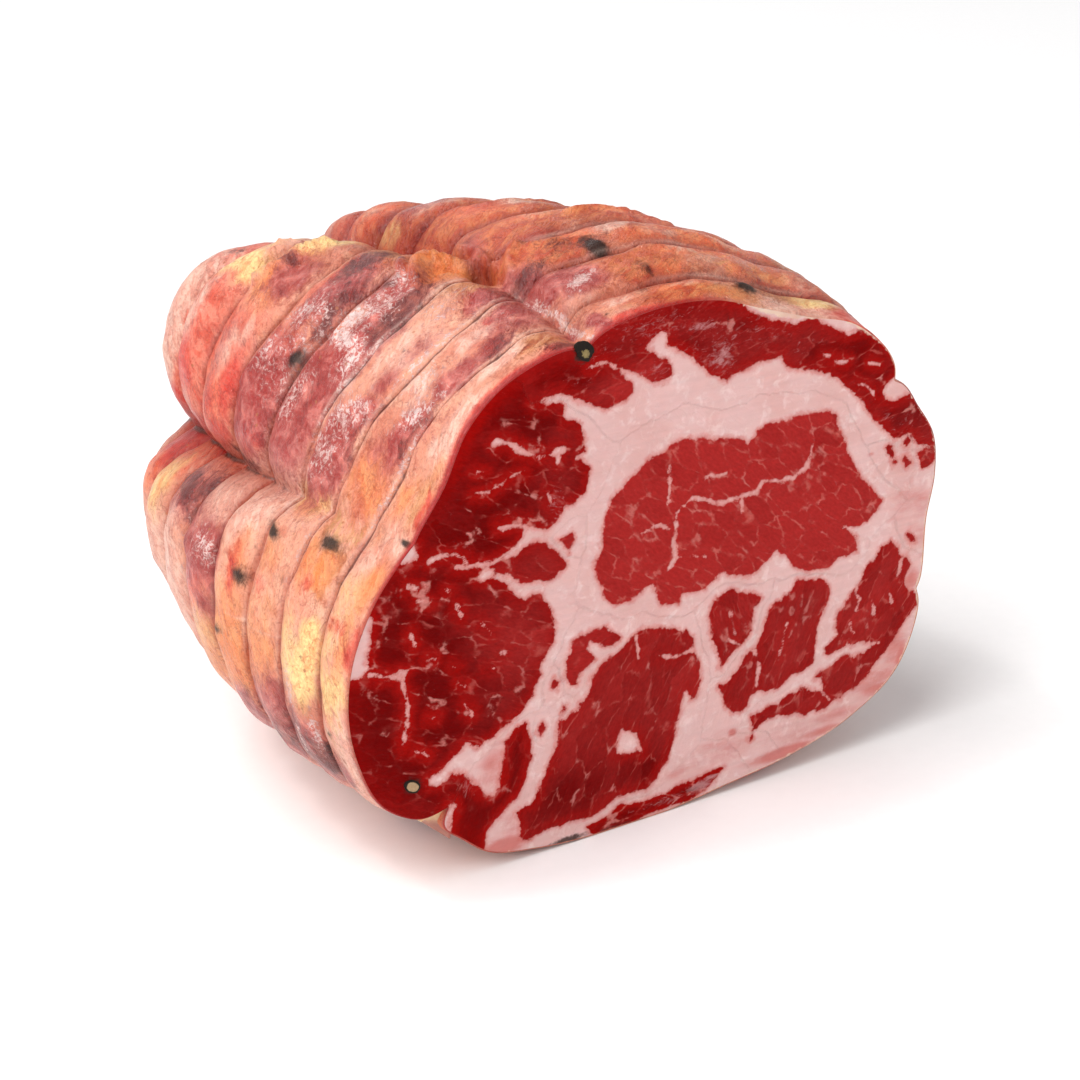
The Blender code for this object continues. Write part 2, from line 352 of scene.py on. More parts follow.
def finish_object(name: str, material: bpy.types.Material) -> bpy.types.Object:
    """Names the piece in hand and puts it on the coppa.

    Args:
        name: the piece's name.
        material: its only material.

    Returns:
        The piece.
    """
    piece = bpy.context.object
    piece.name = name
    piece.data.name = name
    piece.data.materials.clear()
    piece.data.materials.append(material)
    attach(piece, BODY)
    log.info("%s: %d faces", name, len(piece.data.polygons))
    return piece


# The form.


@dataclass(frozen=True)
class CoppaForm:
    """The shape of the half coppa, as the part's own source gives it, in millimetres."""

    rim: Table = (
        (65.0, 55.0), (64.0, 63.0), (59.0, 70.5), (55.5, 76.0), (50.5, 83.0), (43.0, 88.8), (33.0, 91.8),
        (22.0, 95.3), (11.0, 98.8), (0.0, 99.5), (-9.0, 98.3), (-17.0, 96.2), (-26.0, 94.2), (-34.5, 90.5),
        (-40.5, 85.0), (-45.5, 75.5), (-53.0, 65.5), (-60.0, 56.5), (-64.0, 47.0), (-65.0, 38.5),
        (-63.3, 28.5), (-58.5, 19.0), (-50.5, 13.5), (-44.0, 9.0), (-37.0, 3.6), (-27.0, 1.2),
        (-14.0, 0.0), (2.0, 0.0), (18.0, 1.6), (33.0, 3.6), (47.0, 7.8), (57.5, 14.5), (62.5, 25.0),
        (63.3, 36.0), (63.5, 46.0),
    )
    centre: Pair = (0.0, 48.0)
    length: float = 124.0
    girth_radius: float = 55.0
    dome_power: float = 3.2
    bulk_depths: tuple[float, ...] = (0.0, 30.0, 60.0, 90.0, 118.0)
    bulk_shares: tuple[tuple[float, tuple[float, ...]], ...] = (
        (0, (1.00, 1.03, 1.00, 0.94, 0.90)),
        (40, (1.00, 1.10, 1.09, 1.00, 0.93)),
        (70, (1.00, 1.15, 1.12, 1.00, 0.91)),
        (95, (1.00, 1.11, 1.14, 1.13, 1.12)),
        (120, (1.00, 1.06, 1.12, 1.16, 1.17)),
        (140, (1.00, 1.04, 1.09, 1.15, 1.20)),
        (160, (1.00, 1.03, 1.05, 1.08, 1.11)),
        (190, (1.00, 1.03, 1.02, 0.98, 0.96)),
        (225, (1.00, 1.03, 1.02, 0.98, 0.95)),
        (270, (1.00, 1.05, 1.09, 1.12, 1.06)),
        (315, (1.00, 1.01, 0.98, 0.93, 0.90)),
    )
    reach: Table = (
        (0, 0.98), (45, 0.98), (90, 1.03), (118, 1.02), (135, 1.05), (150, 1.065), (168, 1.02),
        (195, 1.02), (240, 1.0), (300, 0.98),
    )
    axis_across: Table = ((0, 0.0), (60, -2.0), (118, -6.0))
    axis_height: Table = ((0, 48.0), (60, 49.0), (118, 50.0))
    rings: tuple[float, ...] = (12.0, 25.0, 37.5, 52.0, 66.5, 81.0, 95.5, 110.0, 126.0)
    hidden_ring: float = -10.0
    ring_lean: Pair = (1.0, 2.5)
    ring_bow: Table = (
        (30, 0.0), (60, -1.0), (78, -3.0), (92, -3.0), (104, 0.0), (113, -1.5), (121, -4.5), (131, -5.0),
        (138, -3.5), (145, 0.5), (157, 1.0), (167, 0.0), (176, -1.5), (186, -3.0), (215, -3.0),
        (250, -1.0), (300, 0.0),
    )
    ring_depth: Pair = (1.5, 2.4)
    pillow_power: float = 0.5
    folds: tuple[tuple[Table, Table, Table], ...] = (
        (
            ((0, 109.5), (30, 107), (55, 106), (80, 106), (118, 108)),
            ((0, 1.5), (8, 3.0), (30, 3.0), (55, 6.0), (80, 9.0), (105, 11.0), (118, 9.0)),
            ((0, 2.5), (40, 3.5), (60, 5.0), (118, 6.5)),
        ),
        (
            ((0, 160), (30, 163), (60, 166), (90, 169), (118, 172)),
            ((0, 0.5), (20, 1.0), (40, 4.0), (70, 9.0), (90, 12.0), (118, 8.0)),
            ((0, 2.0), (30, 3.0), (60, 5.0), (118, 8.0)),
        ),
        (
            ((0, 215.8), (30, 219), (118, 225)), ((0, 4.5), (12, 3.5), (30, 2.0), (60, 1.5), (118, 2.0)),
            ((0, 1.6), (30, 3.0), (118, 5.0)),
        ),
        (
            ((0, 345), (30, 346), (118, 352)), ((0, 1.2), (20, 1.2), (60, 2.0), (118, 5.0)),
            ((0, 1.8), (60, 4.0), (118, 7.0)),
        ),
        (
            ((0, 387.5), (30, 389), (118, 395)), ((0, 1.8), (20, 1.5), (60, 2.0), (118, 4.0)),
            ((0, 2.0), (60, 4.0), (118, 6.0)),
        ),
    )
    fold_power: float = 1.3
    fold_least_radius: float = 5.0
    puckers: int = 11
    pucker_depth: float = 0.9
    dimple_depth: float = 5.0
    shift_across: float = 0.577
    shift_back: float = -61.37
    meridian: tuple[np.ndarray, ...] = field(init=False)

    def __post_init__(self) -> None:
        """Works out the line from the rim to the tip: distance run, share of length and share of radius."""
        turn = np.linspace(0.0, math.pi / 2.0, 4001)
        along = np.sin(turn) ** (2.0 / self.dome_power)
        out = np.cos(turn) ** (2.0 / self.dome_power)
        step = np.hypot(np.diff(along) * self.length, np.diff(out) * self.girth_radius)
        object.__setattr__(self, "meridian", (np.concatenate([[0.0], np.cumsum(step)]), along, out))

    @property
    def whole_run(self) -> float:
        """Distance along the skin from the rim to the tip of the rear."""
        return float(self.meridian[0][-1])

    def rim_radius(self, angle: np.ndarray) -> np.ndarray:
        """Distance of the rim from its centre.

        Args:
            angle: directions in degrees.

        Returns:
            One distance for each direction.
        """
        across, height = self.centre
        table = []
        for x, z in self.rim:
            direction = math.degrees(math.atan2(z - height, x - across)) % 360.0
            table.append((direction, math.hypot(x - across, z - height)))
        return curve_round(angle, tuple(table))

    def bulk(self, angle: np.ndarray, depth: float) -> np.ndarray:
        """Radius as a share of the rim's.

        Args:
            angle: directions in degrees.
            depth: how far behind the cut.

        Returns:
            One share for each direction.
        """
        table = []
        for direction, shares in self.bulk_shares:
            share = float(curve_through(depth, tuple(zip(self.bulk_depths, shares))))
            table.append((direction, share))
        return curve_round(angle, tuple(table))

    def crease(self, run: float) -> float:
        """How near a place is to a ring of the string.

        Args:
            run: distance along the skin behind the cut.

        Returns:
            0 on the crown of a band between two rings, 1 on a ring.
        """
        edges = (self.hidden_ring,) + self.rings + (2.0 * self.whole_run - self.rings[-1],)
        k = int(np.clip(np.searchsorted(edges, run, side="right") - 1, 0, len(edges) - 2))
        place = (run - edges[k]) / (edges[k + 1] - edges[k])
        return 1.0 - (4.0 * place * (1.0 - place)) ** self.pillow_power

    def crease_depth(self, run: float) -> float:
        """How deep the skin lies below the crown of its band.

        Args:
            run: distance along the skin behind the cut.

        Returns:
            The depth.
        """
        out = float(np.interp(run, self.meridian[0], self.meridian[2]))
        shallow, deep = self.ring_depth
        depth = shallow + (deep - shallow) * float(smoothstep(20.0, 80.0, run))
        return self.crease(run) * depth * float(smoothstep(0.0, 5.0, run) * smoothstep(0.05, 0.4, out))

    def fold_dip(self, angle: np.ndarray, depth: float, radius: np.ndarray) -> np.ndarray:
        """How deep the lengthwise folds are.

        Args:
            angle: directions in degrees.
            depth: how far behind the cut.
            radius: the radius in each direction.

        Returns:
            One depth for each direction.
        """
        dip = np.zeros(len(angle))
        for path, depths, widths in self.folds:
            aside = turn_between(angle, curve_through(depth, path))
            aside = np.radians(aside) * np.maximum(radius, self.fold_least_radius)
            width = curve_through(depth, widths)
            dip = dip + curve_through(depth, depths) * np.exp(-np.abs(aside / width) ** self.fold_power)
        return dip

    def skin_ring(self, angle: np.ndarray, run: float, proud: np.ndarray | float = 0.0) -> np.ndarray:
        """Points of the skin behind the cut, at several directions and one distance run.

        Args:
            angle: directions in degrees, seen from the cut side, anticlockwise from the right.
            run: distance along the skin behind the cut.
            proud: how far each point stands off the plain form.

        Returns:
            Places across, behind the cut and above the floor.
        """
        along = float(np.interp(run, self.meridian[0], self.meridian[1]))
        out = float(np.interp(run, self.meridian[0], self.meridian[2]))
        depth = along * self.length
        whole = smoothstep(0.0, 0.6, out)
        lean = -(self.ring_lean[0] + self.ring_lean[1] * np.sin(np.radians(angle)))
        lean = lean * smoothstep(0.0, 10.0, run) * whole
        bowed = smoothstep(0.0, 22.0, run) * (1.0 - smoothstep(65.0, 110.0, run))
        lean = lean + curve_round(angle, self.ring_bow) * bowed
        reach = 1.0 + (curve_round(angle, self.reach) - 1.0) * smoothstep(0.2, 0.9, along) * whole
        radius = self.rim_radius(angle) * self.bulk(angle, depth) * out
        side = out ** (self.dome_power - 1.0) / self.girth_radius
        back = along ** (self.dome_power - 1.0) / self.length
        tilt = math.hypot(side, back)
        dip = self.crease_depth(run) - proud
        dip = dip + self.fold_dip(angle, depth, radius) * smoothstep(0.0, 0.55, out)
        gather = (1.0 - smoothstep(0.1, 0.6, out)) * smoothstep(0.0, 0.12, out)
        dip = dip + self.pucker_depth * gather * (1.0 + np.cos(np.radians(angle) * self.puckers))
        dip = dip + self.dimple_depth * (1.0 - smoothstep(0.0, 0.5, out))
        radius = np.maximum(radius - dip * side / tilt, 0.0)
        across = curve_through(depth, self.axis_across) + radius * np.cos(np.radians(angle))
        height = curve_through(depth, self.axis_height) + radius * np.sin(np.radians(angle))
        behind = depth * reach + lean - dip * back / tilt
        return np.stack([across, behind, np.maximum(height, 0.0)], -1)

    def column_angles(self, run: float, columns: tuple[int, ...]) -> np.ndarray:
        """Directions of the columns of points, which follow the folds and crowd at them.

        Args:
            run: distance along the skin behind the cut.
            columns: how many there are from each fold to the next.

        Returns:
            The directions in degrees.
        """
        depth = float(np.interp(run, self.meridian[0], self.meridian[1])) * self.length
        lines = [float(curve_through(depth, path)) for path, _, _ in self.folds]
        lines.append(lines[0] + 360.0)
        angles = []
        for start, end, count in zip(lines[:-1], lines[1:], columns):
            angles.extend(start + (end - start) * crowd(count, 0.5))
        return np.array(angles)

    def placed(self, points: np.ndarray) -> np.ndarray:
        """Places in millimetres behind the cut, as places in the part's own frame in metres."""
        return (np.asarray(points, float) + (self.shift_across, self.shift_back, 0.0)) * MM


def crowd(count: int, amount: float) -> np.ndarray:
    """Shares from 0 up to 1, without the 1, closer together at both ends."""
    share = np.arange(count) / count
    return share - amount * np.sin(2.0 * math.pi * share) / (2.0 * math.pi)


# The casing.


class Tint(Enum):
    """What shows on or through the casing in patches, from the lowest up: the main colour and its grain."""

    RUST = ("#b84624", "#d07646")
    SALMON = ("#d65a44", "#e88c74")
    # Orange fat through taut casing; on the far side of the top it is also painted light from behind.
    AMBER = ("#e26a3c", "#ee9060")
    PALE = ("#da9c88", "#eec6b2")
    TAN = ("#cc8a60", "#b06038")
    YELLOW = ("#f4d692", "#e8a468")
    ORANGE = ("#da783e", "#e69a66")
    CORAL = ("#cc3526", "#e06a58")
    ROSE = ("#9a2826", "#c66e66")
    # Maroon lean through the casing, also painted shade in a fold and behind the rings.
    MAROON_AND_SHADE = ("#641c18", "#94473a")
    # Whitish frosting of the gut, also painted sheen of moist wrinkles.
    FROST_AND_SHEEN = ("#e0b8b0", "#fae9e4")
    GRIT = ("#0d0b0a", "#34261a")


@dataclass(frozen=True)
class Patch:
    """A soft patch on the casing: its tint, place, half sizes, turn and strength."""

    tint: Tint
    direction: float
    run: float
    half_direction: float
    half_run: float
    strength: float = 1.0
    turn: float = 0.0


def patches(tint: Tint, rows: Rows) -> tuple[Patch, ...]:
    """Several patches of one tint."""
    return tuple(Patch(tint, *row) for row in rows)


# Read off the real casing: direction, distance behind the cut, half width in degrees, half length,
# strength and turn.
SEEN_PATCHES = (
    *patches(Tint.RUST, (
        (86, 4, 10, 6, 1.1), (58, 15.5, 6, 3, 1.2), (86, 18, 14, 6, 0.8), (95, 31, 8, 6, 1.3),
        (80, 31, 6, 5, 0.8), (97, 44, 9, 7, 1.3), (75, 45, 20, 7, 1.0), (97, 59, 9, 7, 1.1),
        (72, 60, 22, 7, 1.1), (95, 74, 12, 7, 1.2), (70, 74, 22, 7, 1.0), (92, 90, 16, 8, 1.1),
        (66, 92, 22, 9, 1.0), (109, 52, 3.5, 12, 1.0), (112, 6, 5, 5, 0.7), (120, 5, 5, 3, 0.4),
        (113, 33, 3, 5, 1.0), (48, 30, 10, 22, 0.8), (45, 70, 12, 22, 0.8), (154, 18, 7, 6, 0.7),
        (100, 66, 4, 5, 1.0), (98, 83, 6, 5, 1.1), (84, 98, 14, 5, 1.1), (150, 96, 8, 4, 0.8),
        (86, 60, 16, 4, 0.9), (60, 76, 16, 5, 0.9), (52, 46, 12, 5, 0.9), (40, 60, 10, 8, 0.8),
        (78, 36, 12, 3, 0.8), (114, 59, 4.5, 6, 1.5), (122, 59, 5.5, 5, 1.5), (90, 15.5, 4, 3, 1.4),
        (98, 34, 6, 4, 1.3), (106, 34, 3, 4, 0.9), (121, 48.5, 3.5, 3, 0.8), (30, 20, 14, 8, 0.7),
        (22, 62, 12, 9, 0.7), (26, 92, 12, 8, 0.7), (106, 100, 6, 6, 0.9), (98, 28.5, 4, 3, 1.2),
    )),
    *patches(Tint.SALMON, (
        (150, 74, 14, 7, 1.2), (150, 88, 17, 8, 1.3), (148, 60, 13, 7, 0.8), (140, 104, 30, 10, 1.0),
        (170, 96, 12, 12, 0.6), (128, 60, 8, 6, 0.7), (175, 20, 8, 6, 0.35), (155, 10, 6, 4, 0.3),
        (140, 45, 16, 7, 0.5), (120, 20, 8, 5, 0.5), (128, 31, 10, 5, 0.35), (197, 70, 8, 10, 0.5),
        (110, 96, 14, 8, 0.8), (186, 60, 7, 5, 0.7), (162, 60, 3, 6, 0.7), (58, 30, 16, 5, 0.8),
        (62, 21, 12, 4, 0.6), (52, 12, 10, 4, 0.6), (66, 42, 14, 5, 0.6),
    )),
    # On the top these amber patches are partly painted light from behind.
    *patches(Tint.AMBER, (
        (84, 9, 6, 3, 1.0), (75, 9, 4, 3, 0.9), (98, 9.5, 4, 2.5, 1.0), (82, 15.5, 5, 2.5, 0.9),
        (66, 15.5, 4, 3, 0.8), (74, 21.5, 6, 3, 1.2), (65, 21.5, 5, 3, 1.0), (66, 28.5, 13, 3.5, 1.4),
        (89, 34, 4, 2.5, 1.2), (90, 48.5, 6, 3, 1.1), (106, 59, 3, 5, 1.2), (98, 88, 6, 4, 1.1),
        (90, 57, 6, 4, 0.8), (170, 88, 4, 5, 1.2), (178, 102, 5, 5, 1.2), (150, 74, 12, 5, 0.5),
        (58, 57, 9, 4, 0.8), (70, 72, 10, 3, 0.8), (75, 45, 8, 3, 0.9), (106, 73, 3, 4, 1.1),
        (52, 3, 8, 4, 0.7), (195, 43, 4, 4, 0.6),
    )),
    *patches(Tint.PALE, (
        (139, 4, 7, 5, 1.0), (133, 32, 10, 5, 0.65), (161, 4, 4, 6, 0.6), (170, 45, 5, 7, 1.0),
        (190, 73, 9, 6, 1.1), (167.5, 58, 2.4, 8, 1.1), (136, 21, 5, 3, 0.8), (143, 71, 6, 3, 0.6),
        (142, 39.4, 2.4, 2.4, 1.3), (136, 39.6, 3, 2.2, 1.1), (188, 82, 8, 5, 1.0), (102, 14, 4, 2, 0.6),
        (166, 8, 5, 4, 0.6), (164, 31, 3, 5, 0.5), (150, 46, 12, 7, 0.35), (182, 31, 2, 6, 0.5),
        (200, 50, 3, 4, 0.5), (128, 18, 3, 4, 0.4), (205, 58, 4, 7, 0.5), (115, 83, 5, 4, 0.6),
        (142, 90, 7, 3, 0.9), (160, 92, 5, 4, 0.6), (135, 97, 8, 4, 0.9), (170, 84, 4, 5, 0.5),
        (84, 60, 5, 2.5, 0.8), (92, 72, 5, 2.5, 0.7), (76, 88, 7, 3, 0.8), (60, 52, 7, 3, 0.7),
        (52, 3, 12, 4, 1.3), (40, 3, 6, 4, 1.2), (66, 2, 4, 2, 1.2), (123, 9.5, 5, 2.5, 1.1),
        (129, 9.5, 4, 2.5, 0.5), (197, 3, 8, 3.5, 1.0), (194, 9.3, 4, 2, 0.8), (122, 21.5, 4, 2.5, 0.9),
        (138, 21.5, 4, 2, 0.3), (162, 45, 4, 10, 1.9), (147, 104, 12, 6, 1.9), (170, 59, 4, 6, 1.9),
        (58, 9, 3, 2.5, 0.9), (74, 9, 3, 2.5, 0.6), (82, 9, 4, 2.5, 0.6), (98, 9.5, 4, 2.5, 0.8),
        (74, 21.5, 4, 2.5, 0.8), (58, 28.5, 4, 3, 0.4), (74, 28.5, 4, 2.5, 0.5), (186, 49, 5, 4, 1.0),
        (90, 48.5, 4, 3, 0.5), (106, 59, 3, 4, 0.4), (98, 88, 4, 3, 0.5), (178, 102, 4, 4, 0.5),
        (50, 15.5, 4, 3, 0.5), (178, 73, 4, 5, 1.1), (82, 34, 4, 2.5, 1.1), (146, 73, 4, 4, 0.7),
        (48, 9, 4, 3, 0.9), (98, 3, 3, 3, 0.6),
    )),
    *patches(Tint.TAN, (
        (118, 6, 5, 3, 0.8), (115, 8, 4, 4, 1.0), (97, 5, 4, 3, 0.5), (70, 5, 7, 5, 0.8),
        (58, 9, 7, 4, 1.0), (164, 19, 4, 5, 0.6), (88, 17, 9, 3, 0.6), (122, 15.5, 3.5, 3, 0.9),
        (110, 34, 3, 3, 0.7), (163.5, 45, 1.6, 8, 0.3), (124, 71, 6, 3, 0.9), (195, 4, 4, 5, 0.4),
        (172, 13, 5, 1.5, 0.6), (153, 3.5, 5, 3, 1.2), (130.5, 15.5, 4, 2.8, 1.3),
        (170, 16, 4.5, 3.4, 1.1), (162, 15.5, 3, 3, 0.6), (114, 33.5, 4, 4, 1.2), (178, 42, 4, 3, 0.7),
        (162, 9.5, 4, 2.5, 0.5), (113, 59, 4, 5, 1.2),
    )),
    *patches(Tint.YELLOW, (
        (186, 6, 6, 6, 0.9), (182.5, 14.5, 4, 3.4, 1.4), (187, 17, 5, 5, 1.0), (175, 7, 6, 5, 0.6),
        (117, 75, 5, 4, 1.5), (128, 78.5, 2, 1.6, 1.0), (102, 77, 3, 5, 0.9), (196, 57, 6, 6, 0.9),
        (163, 18, 3, 5, 0.5), (205, 72, 5, 5, 0.8), (128, 88, 4, 7, 1.2), (66, 18, 10, 4, 0.4),
        (176, 30, 5, 4, 0.3), (118, 87, 7, 3, 0.7), (50, 8, 6, 4, 1.0), (184, 21.5, 7, 2.6, 0.9),
        (178, 88, 4, 5, 1.1), (178, 9.3, 5, 2, 0.7), (187, 28.5, 5, 2.5, 0.6), (186, 34.5, 5, 2.5, 0.6),
        (162, 30, 2.5, 4, 1.1), (162, 35, 2.5, 3, 1.3), (186, 9.3, 5, 2, 0.9),
        (187.5, 15.5, 2.6, 2.4, 1.4),
    )),
    *patches(Tint.ORANGE, (
        (188, 31, 9, 7, 0.8), (191, 44, 9, 7, 1.2), (199, 56, 8, 6, 0.8), (154, 18, 5, 6, 0.7),
        (113, 46, 5.5, 6, 1.5), (108, 45, 2.2, 9, 1.0), (106, 60, 2.6, 10, 1.0), (75, 4, 7, 4, 0.9),
        (98, 27, 6, 3, 0.5), (56, 17, 5, 3, 0.8), (94, 59, 7, 6, 0.6), (171, 20, 3, 3, 0.6),
        (84, 46, 6, 7, 0.6), (60, 35, 14, 8, 0.4), (181, 41, 5, 6, 0.6), (178, 4, 5, 3, 0.8),
        (172, 33, 5, 4, 0.6), (154, 9, 5, 3, 0.8), (170, 3, 5, 3, 0.9), (127, 73, 7, 4, 1.2),
        (162, 32, 3, 6, 0.7), (202, 42, 5, 4, 0.4), (146, 3, 3, 2.4, 0.6), (170, 17, 4, 3, 1.1),
        (170, 22, 4, 3, 0.9), (178, 42, 5, 3.4, 0.9),
    )),
    *patches(Tint.CORAL, (
        (178, 1.2, 3.4, 1.8, 0.85), (176.4, 8, 1.4, 4, 0.7), (172.5, 19.5, 2, 2.4, 0.65),
        (177.5, 34, 1.8, 3, 0.7), (151, 69, 8, 2.2, 0.9), (156, 74, 6, 2.4, 0.7), (143, 79, 10, 2.4, 0.6),
        (117.8, 22.4, 1.1, 0.9, 1.6), (126, 60, 4, 3, 0.7), (92, 60, 6, 5, 0.6), (166, 86, 2.4, 9, 1.2),
        (153, 1.4, 6, 2.2, 0.7), (128, 0.2, 26, 1.7, 1.1), (98, 0.6, 8, 2.4, 1.1), (160, 58, 3, 5, 1.1),
        (108, 83, 4, 5, 0.7), (158, 44, 2, 5, 0.6), (113.5, 1.8, 4, 2.4, 1.1), (169, 102, 5, 7, 2.6),
        (178, 100, 4, 5, 0.5), (155, 90, 5, 5, 1.1), (114, 28.5, 4, 2.6, 1.0), (186, 60, 4, 4, 0.5),
        (114, 21, 3, 2, 1.0), (178, 43, 4, 3, 0.8), (122, 59, 4, 4, 1.3), (180, 52, 3.4, 3, 0.7),
        (176, 61, 2.4, 4, 0.4), (162, 71, 3, 4, 0.9),
    )),
    *patches(Tint.ROSE, (
        (154, 31, 8, 6, 1.2), (147, 45, 14, 7, 1.3), (150, 59, 12, 7, 1.2), (130, 42, 13, 5, 1.3),
        (122, 47, 7, 6, 0.9), (129, 57, 9, 5, 1.1), (142, 15.5, 8, 3.6, 1.1), (148, 20, 4, 3, 0.6),
        (113, 19, 7, 6, 0.8), (108, 27, 5, 4, 1.3), (103.5, 4, 1.6, 5, 1.2), (101, 20, 5, 5, 1.2),
        (180, 58, 5, 7, 1.4), (174, 73, 4, 7, 1.1), (188, 55, 3, 4, 0.7), (199, 30, 7, 7, 1.3),
        (200, 18, 6, 6, 1.3), (199, 8, 4, 3, 0.5), (103, 44, 3, 6, 0.6), (118, 33, 6, 4, 0.4),
        (146, 75, 12, 3, 0.6), (136, 0, 26, 0.9, 1.1), (95, 38.5, 8, 1.5, 0.6), (92, 76, 5, 5, 0.7),
        (205, 43, 4, 6, 0.7), (114, 28.5, 4.5, 3, 0.9), (138, 29, 4, 2.6, 0.8), (146, 34.5, 5, 2.6, 0.6),
        (138, 9, 5, 2.5, 0.45), (122, 59, 6, 5, 0.5), (147, 99, 8, 8, 0.2), (106, 21, 3, 4, 1.2),
        (130, 15.5, 4.5, 3, 1.5), (122, 15.5, 4, 3, 1.1), (138, 15.5, 4, 3, 0.9), (126, 72, 6, 4, 1.0),
        (122, 49, 4, 3, 1.0), (146, 29, 5, 3, 1.3), (130, 29, 5, 3, 0.6), (203, 42, 4, 4, 1.5),
        (114, 60, 4, 4, 0.1), (201, 8, 2.6, 4, 0.9), (107, 9, 2.4, 2.4, 0.8),
    )),
    # Maroon lean through the casing; the narrow streaks just behind the rings and those along the fold
    # between the two left lobes are painted shade.
    *patches(Tint.MAROON_AND_SHADE, (
        (150, 26.5, 7, 1.6, 0.8), (142, 14, 7, 1.6, 1.0), (122, 14, 4, 1.8, 1.0), (125, 40.5, 9, 2.4, 1.7),
        (131, 54, 8, 1.6, 1.2), (172, 54, 1.2, 4, 0.5), (173.5, 71, 3.4, 6, 1.25),
        (164.5, 62, 1.2, 7, 1.3), (161.5, 46, 0.6, 9, 0.3), (106, 27.5, 7, 1.8, 1.2),
        (119, 16, 2, 1.6, 0.8), (199, 21, 5, 3.4, 1.4), (200, 31, 5, 5, 0.9), (203, 6, 2, 4, 0.7),
        (124.6, 76, 1.2, 4, 1.2), (116, 51, 2, 1.6, 0.8), (198, 41, 4, 4, 0.6), (150, 44, 8, 3, 0.5),
        (166.5, 77, 1.2, 7, 1.2), (110, 31, 1.8, 6, 0.9), (116, 5, 5, 0.8, 0.8), (120, 8, 4, 0.7, 0.7),
        (160, 31, 1.2, 6, 0.4), (111, 96, 3, 4, 0.8), (88, 78, 4, 3, 0.7), (94, 29, 7, 2, 0.8),
        (98, 35, 4, 1.6, 0.7), (200, 15, 4, 3.6, 1.5), (166, 100, 1.4, 6, 0.4), (121, 49.5, 3, 2, 1.0),
        (119, 59, 7, 4, 1.3), (113.5, 3, 4, 2.6, 1.3), (92, 30.5, 8, 2.6, 0.9), (172, 79, 3, 3, 1.1),
        (201.5, 27, 3, 3.4, 1.1), (202, 9.5, 2.2, 2.6, 1.1),
    )),
    # Frosting, with the painted sheen of moist wrinkles.
    *patches(Tint.FROST_AND_SHEEN, (
        (148, 32, 7, 5, 0.9), (155, 33, 3, 4, 0.9), (133.5, 46, 2.4, 6, 1.4, 12),
        (125, 45, 3.4, 3.6, 1.1, 15), (147, 49, 5, 3, 0.9), (119, 47, 1.6, 5, 1.0), (138, 41, 4, 2.4, 1.1),
        (133, 58, 4, 5, 0.9, 15), (143, 60, 4, 6, 0.7, 15), (178.5, 56, 2.2, 4, 0.95, 20),
        (99.5, 18, 3.2, 1.2, 1.7, -35), (138, 17, 6, 3, 1.0, 20), (130, 26.4, 10, 1.2, 0.9),
        (113, 21, 4, 3, 0.5), (190, 21, 4, 1.6, 1.1), (141, 55, 10, 6, 0.6), (133, 22, 6, 3, 0.7),
        (120, 34, 6, 3, 0.5), (182, 66, 8, 2, 0.6), (107, 12, 0.8, 13, 1.2), (150, 12.6, 12, 0.8, 0.8),
        (170, 25.6, 8, 0.8, 0.6), (140, 37.9, 14, 0.8, 0.9), (130, 48.5, 3.5, 3, 1.4),
        (194, 14.5, 4, 1.4, 0.9), (197, 20.5, 5, 1.2, 1.0),
    )),
    *patches(Tint.GRIT, (
        (166, 18.6, 1.3, 2.7, 1.4), (169.3, 35.4, 0.9, 2.2, 1.6), (178, 40.4, 1.1, 2.2, 1.4),
        (188.6, 48, 0.7, 2.3, 1.1, -15), (141.3, 53.4, 1.4, 1.1, 1.6), (174, 17.5, 0.35, 0.45, 1.2),
        (183.2, 31, 0.35, 0.4, 1.1), (89.2, 27.2, 1.8, 2.6, 2.0), (87.3, 15.5, 0.8, 2.0, 1.3),
        (66.8, 9.2, 2.2, 2.7, 1.7), (122.4, 37.9, 0.8, 0.4, 1.0), (143, 69.3, 0.8, 0.6, 0.8),
        (160.4, 1.2, 0.5, 1.7, 1.6), (101.3, 5, 0.6, 0.5, 0.9), (151, 4.6, 0.3, 0.3, 0.9),
        (140.9, 7.6, 0.3, 0.3, 0.9), (184, 17.2, 0.5, 0.5, 0.8), (165.5, 9, 0.3, 0.4, 0.7),
        (149.5, 39, 0.3, 0.3, 0.8), (118.8, 29, 0.3, 0.3, 0.9), (161.8, 29, 0.3, 1.2, 0.9),
        (175, 26.8, 0.9, 0.3, 0.9), (173.3, 38.8, 0.4, 0.6, 0.8), (91, 10.5, 1.0, 1.0, 0.9),
        (193.8, 8, 0.4, 1.4, 0.9), (198.6, 12.4, 1.6, 0.6, 1.0), (101.8, 30.4, 0.4, 0.8, 0.8),
        (131.4, 30, 0.2, 2.0, 1.0, 12), (110.6, 4, 1.2, 4, 0.7),
    )),
)

# Thin pale lines where the casing is stretched or folded on itself: (direction, distance behind the cut).
PALE_LINES = (
    ((183, 24.5), (183.6, 32), (184.8, 44)), ((190, 20), (184, 21.5), (176, 23)), ((182, 17), (181, 24)),
    ((178, 3), (174, 1.2), (170, 0.4)), ((107.5, 0), (107, 12), (106.6, 25)),
    ((106.6, 25), (108, 30), (107.3, 33)), ((130.4, 28), (129.4, 32), (127.5, 37)),
    ((139.8, 14), (137, 17), (139, 19)), ((134.8, 12), (134.6, 16)),
    ((163, 25.5), (160, 26.6), (158, 27.2)),
)


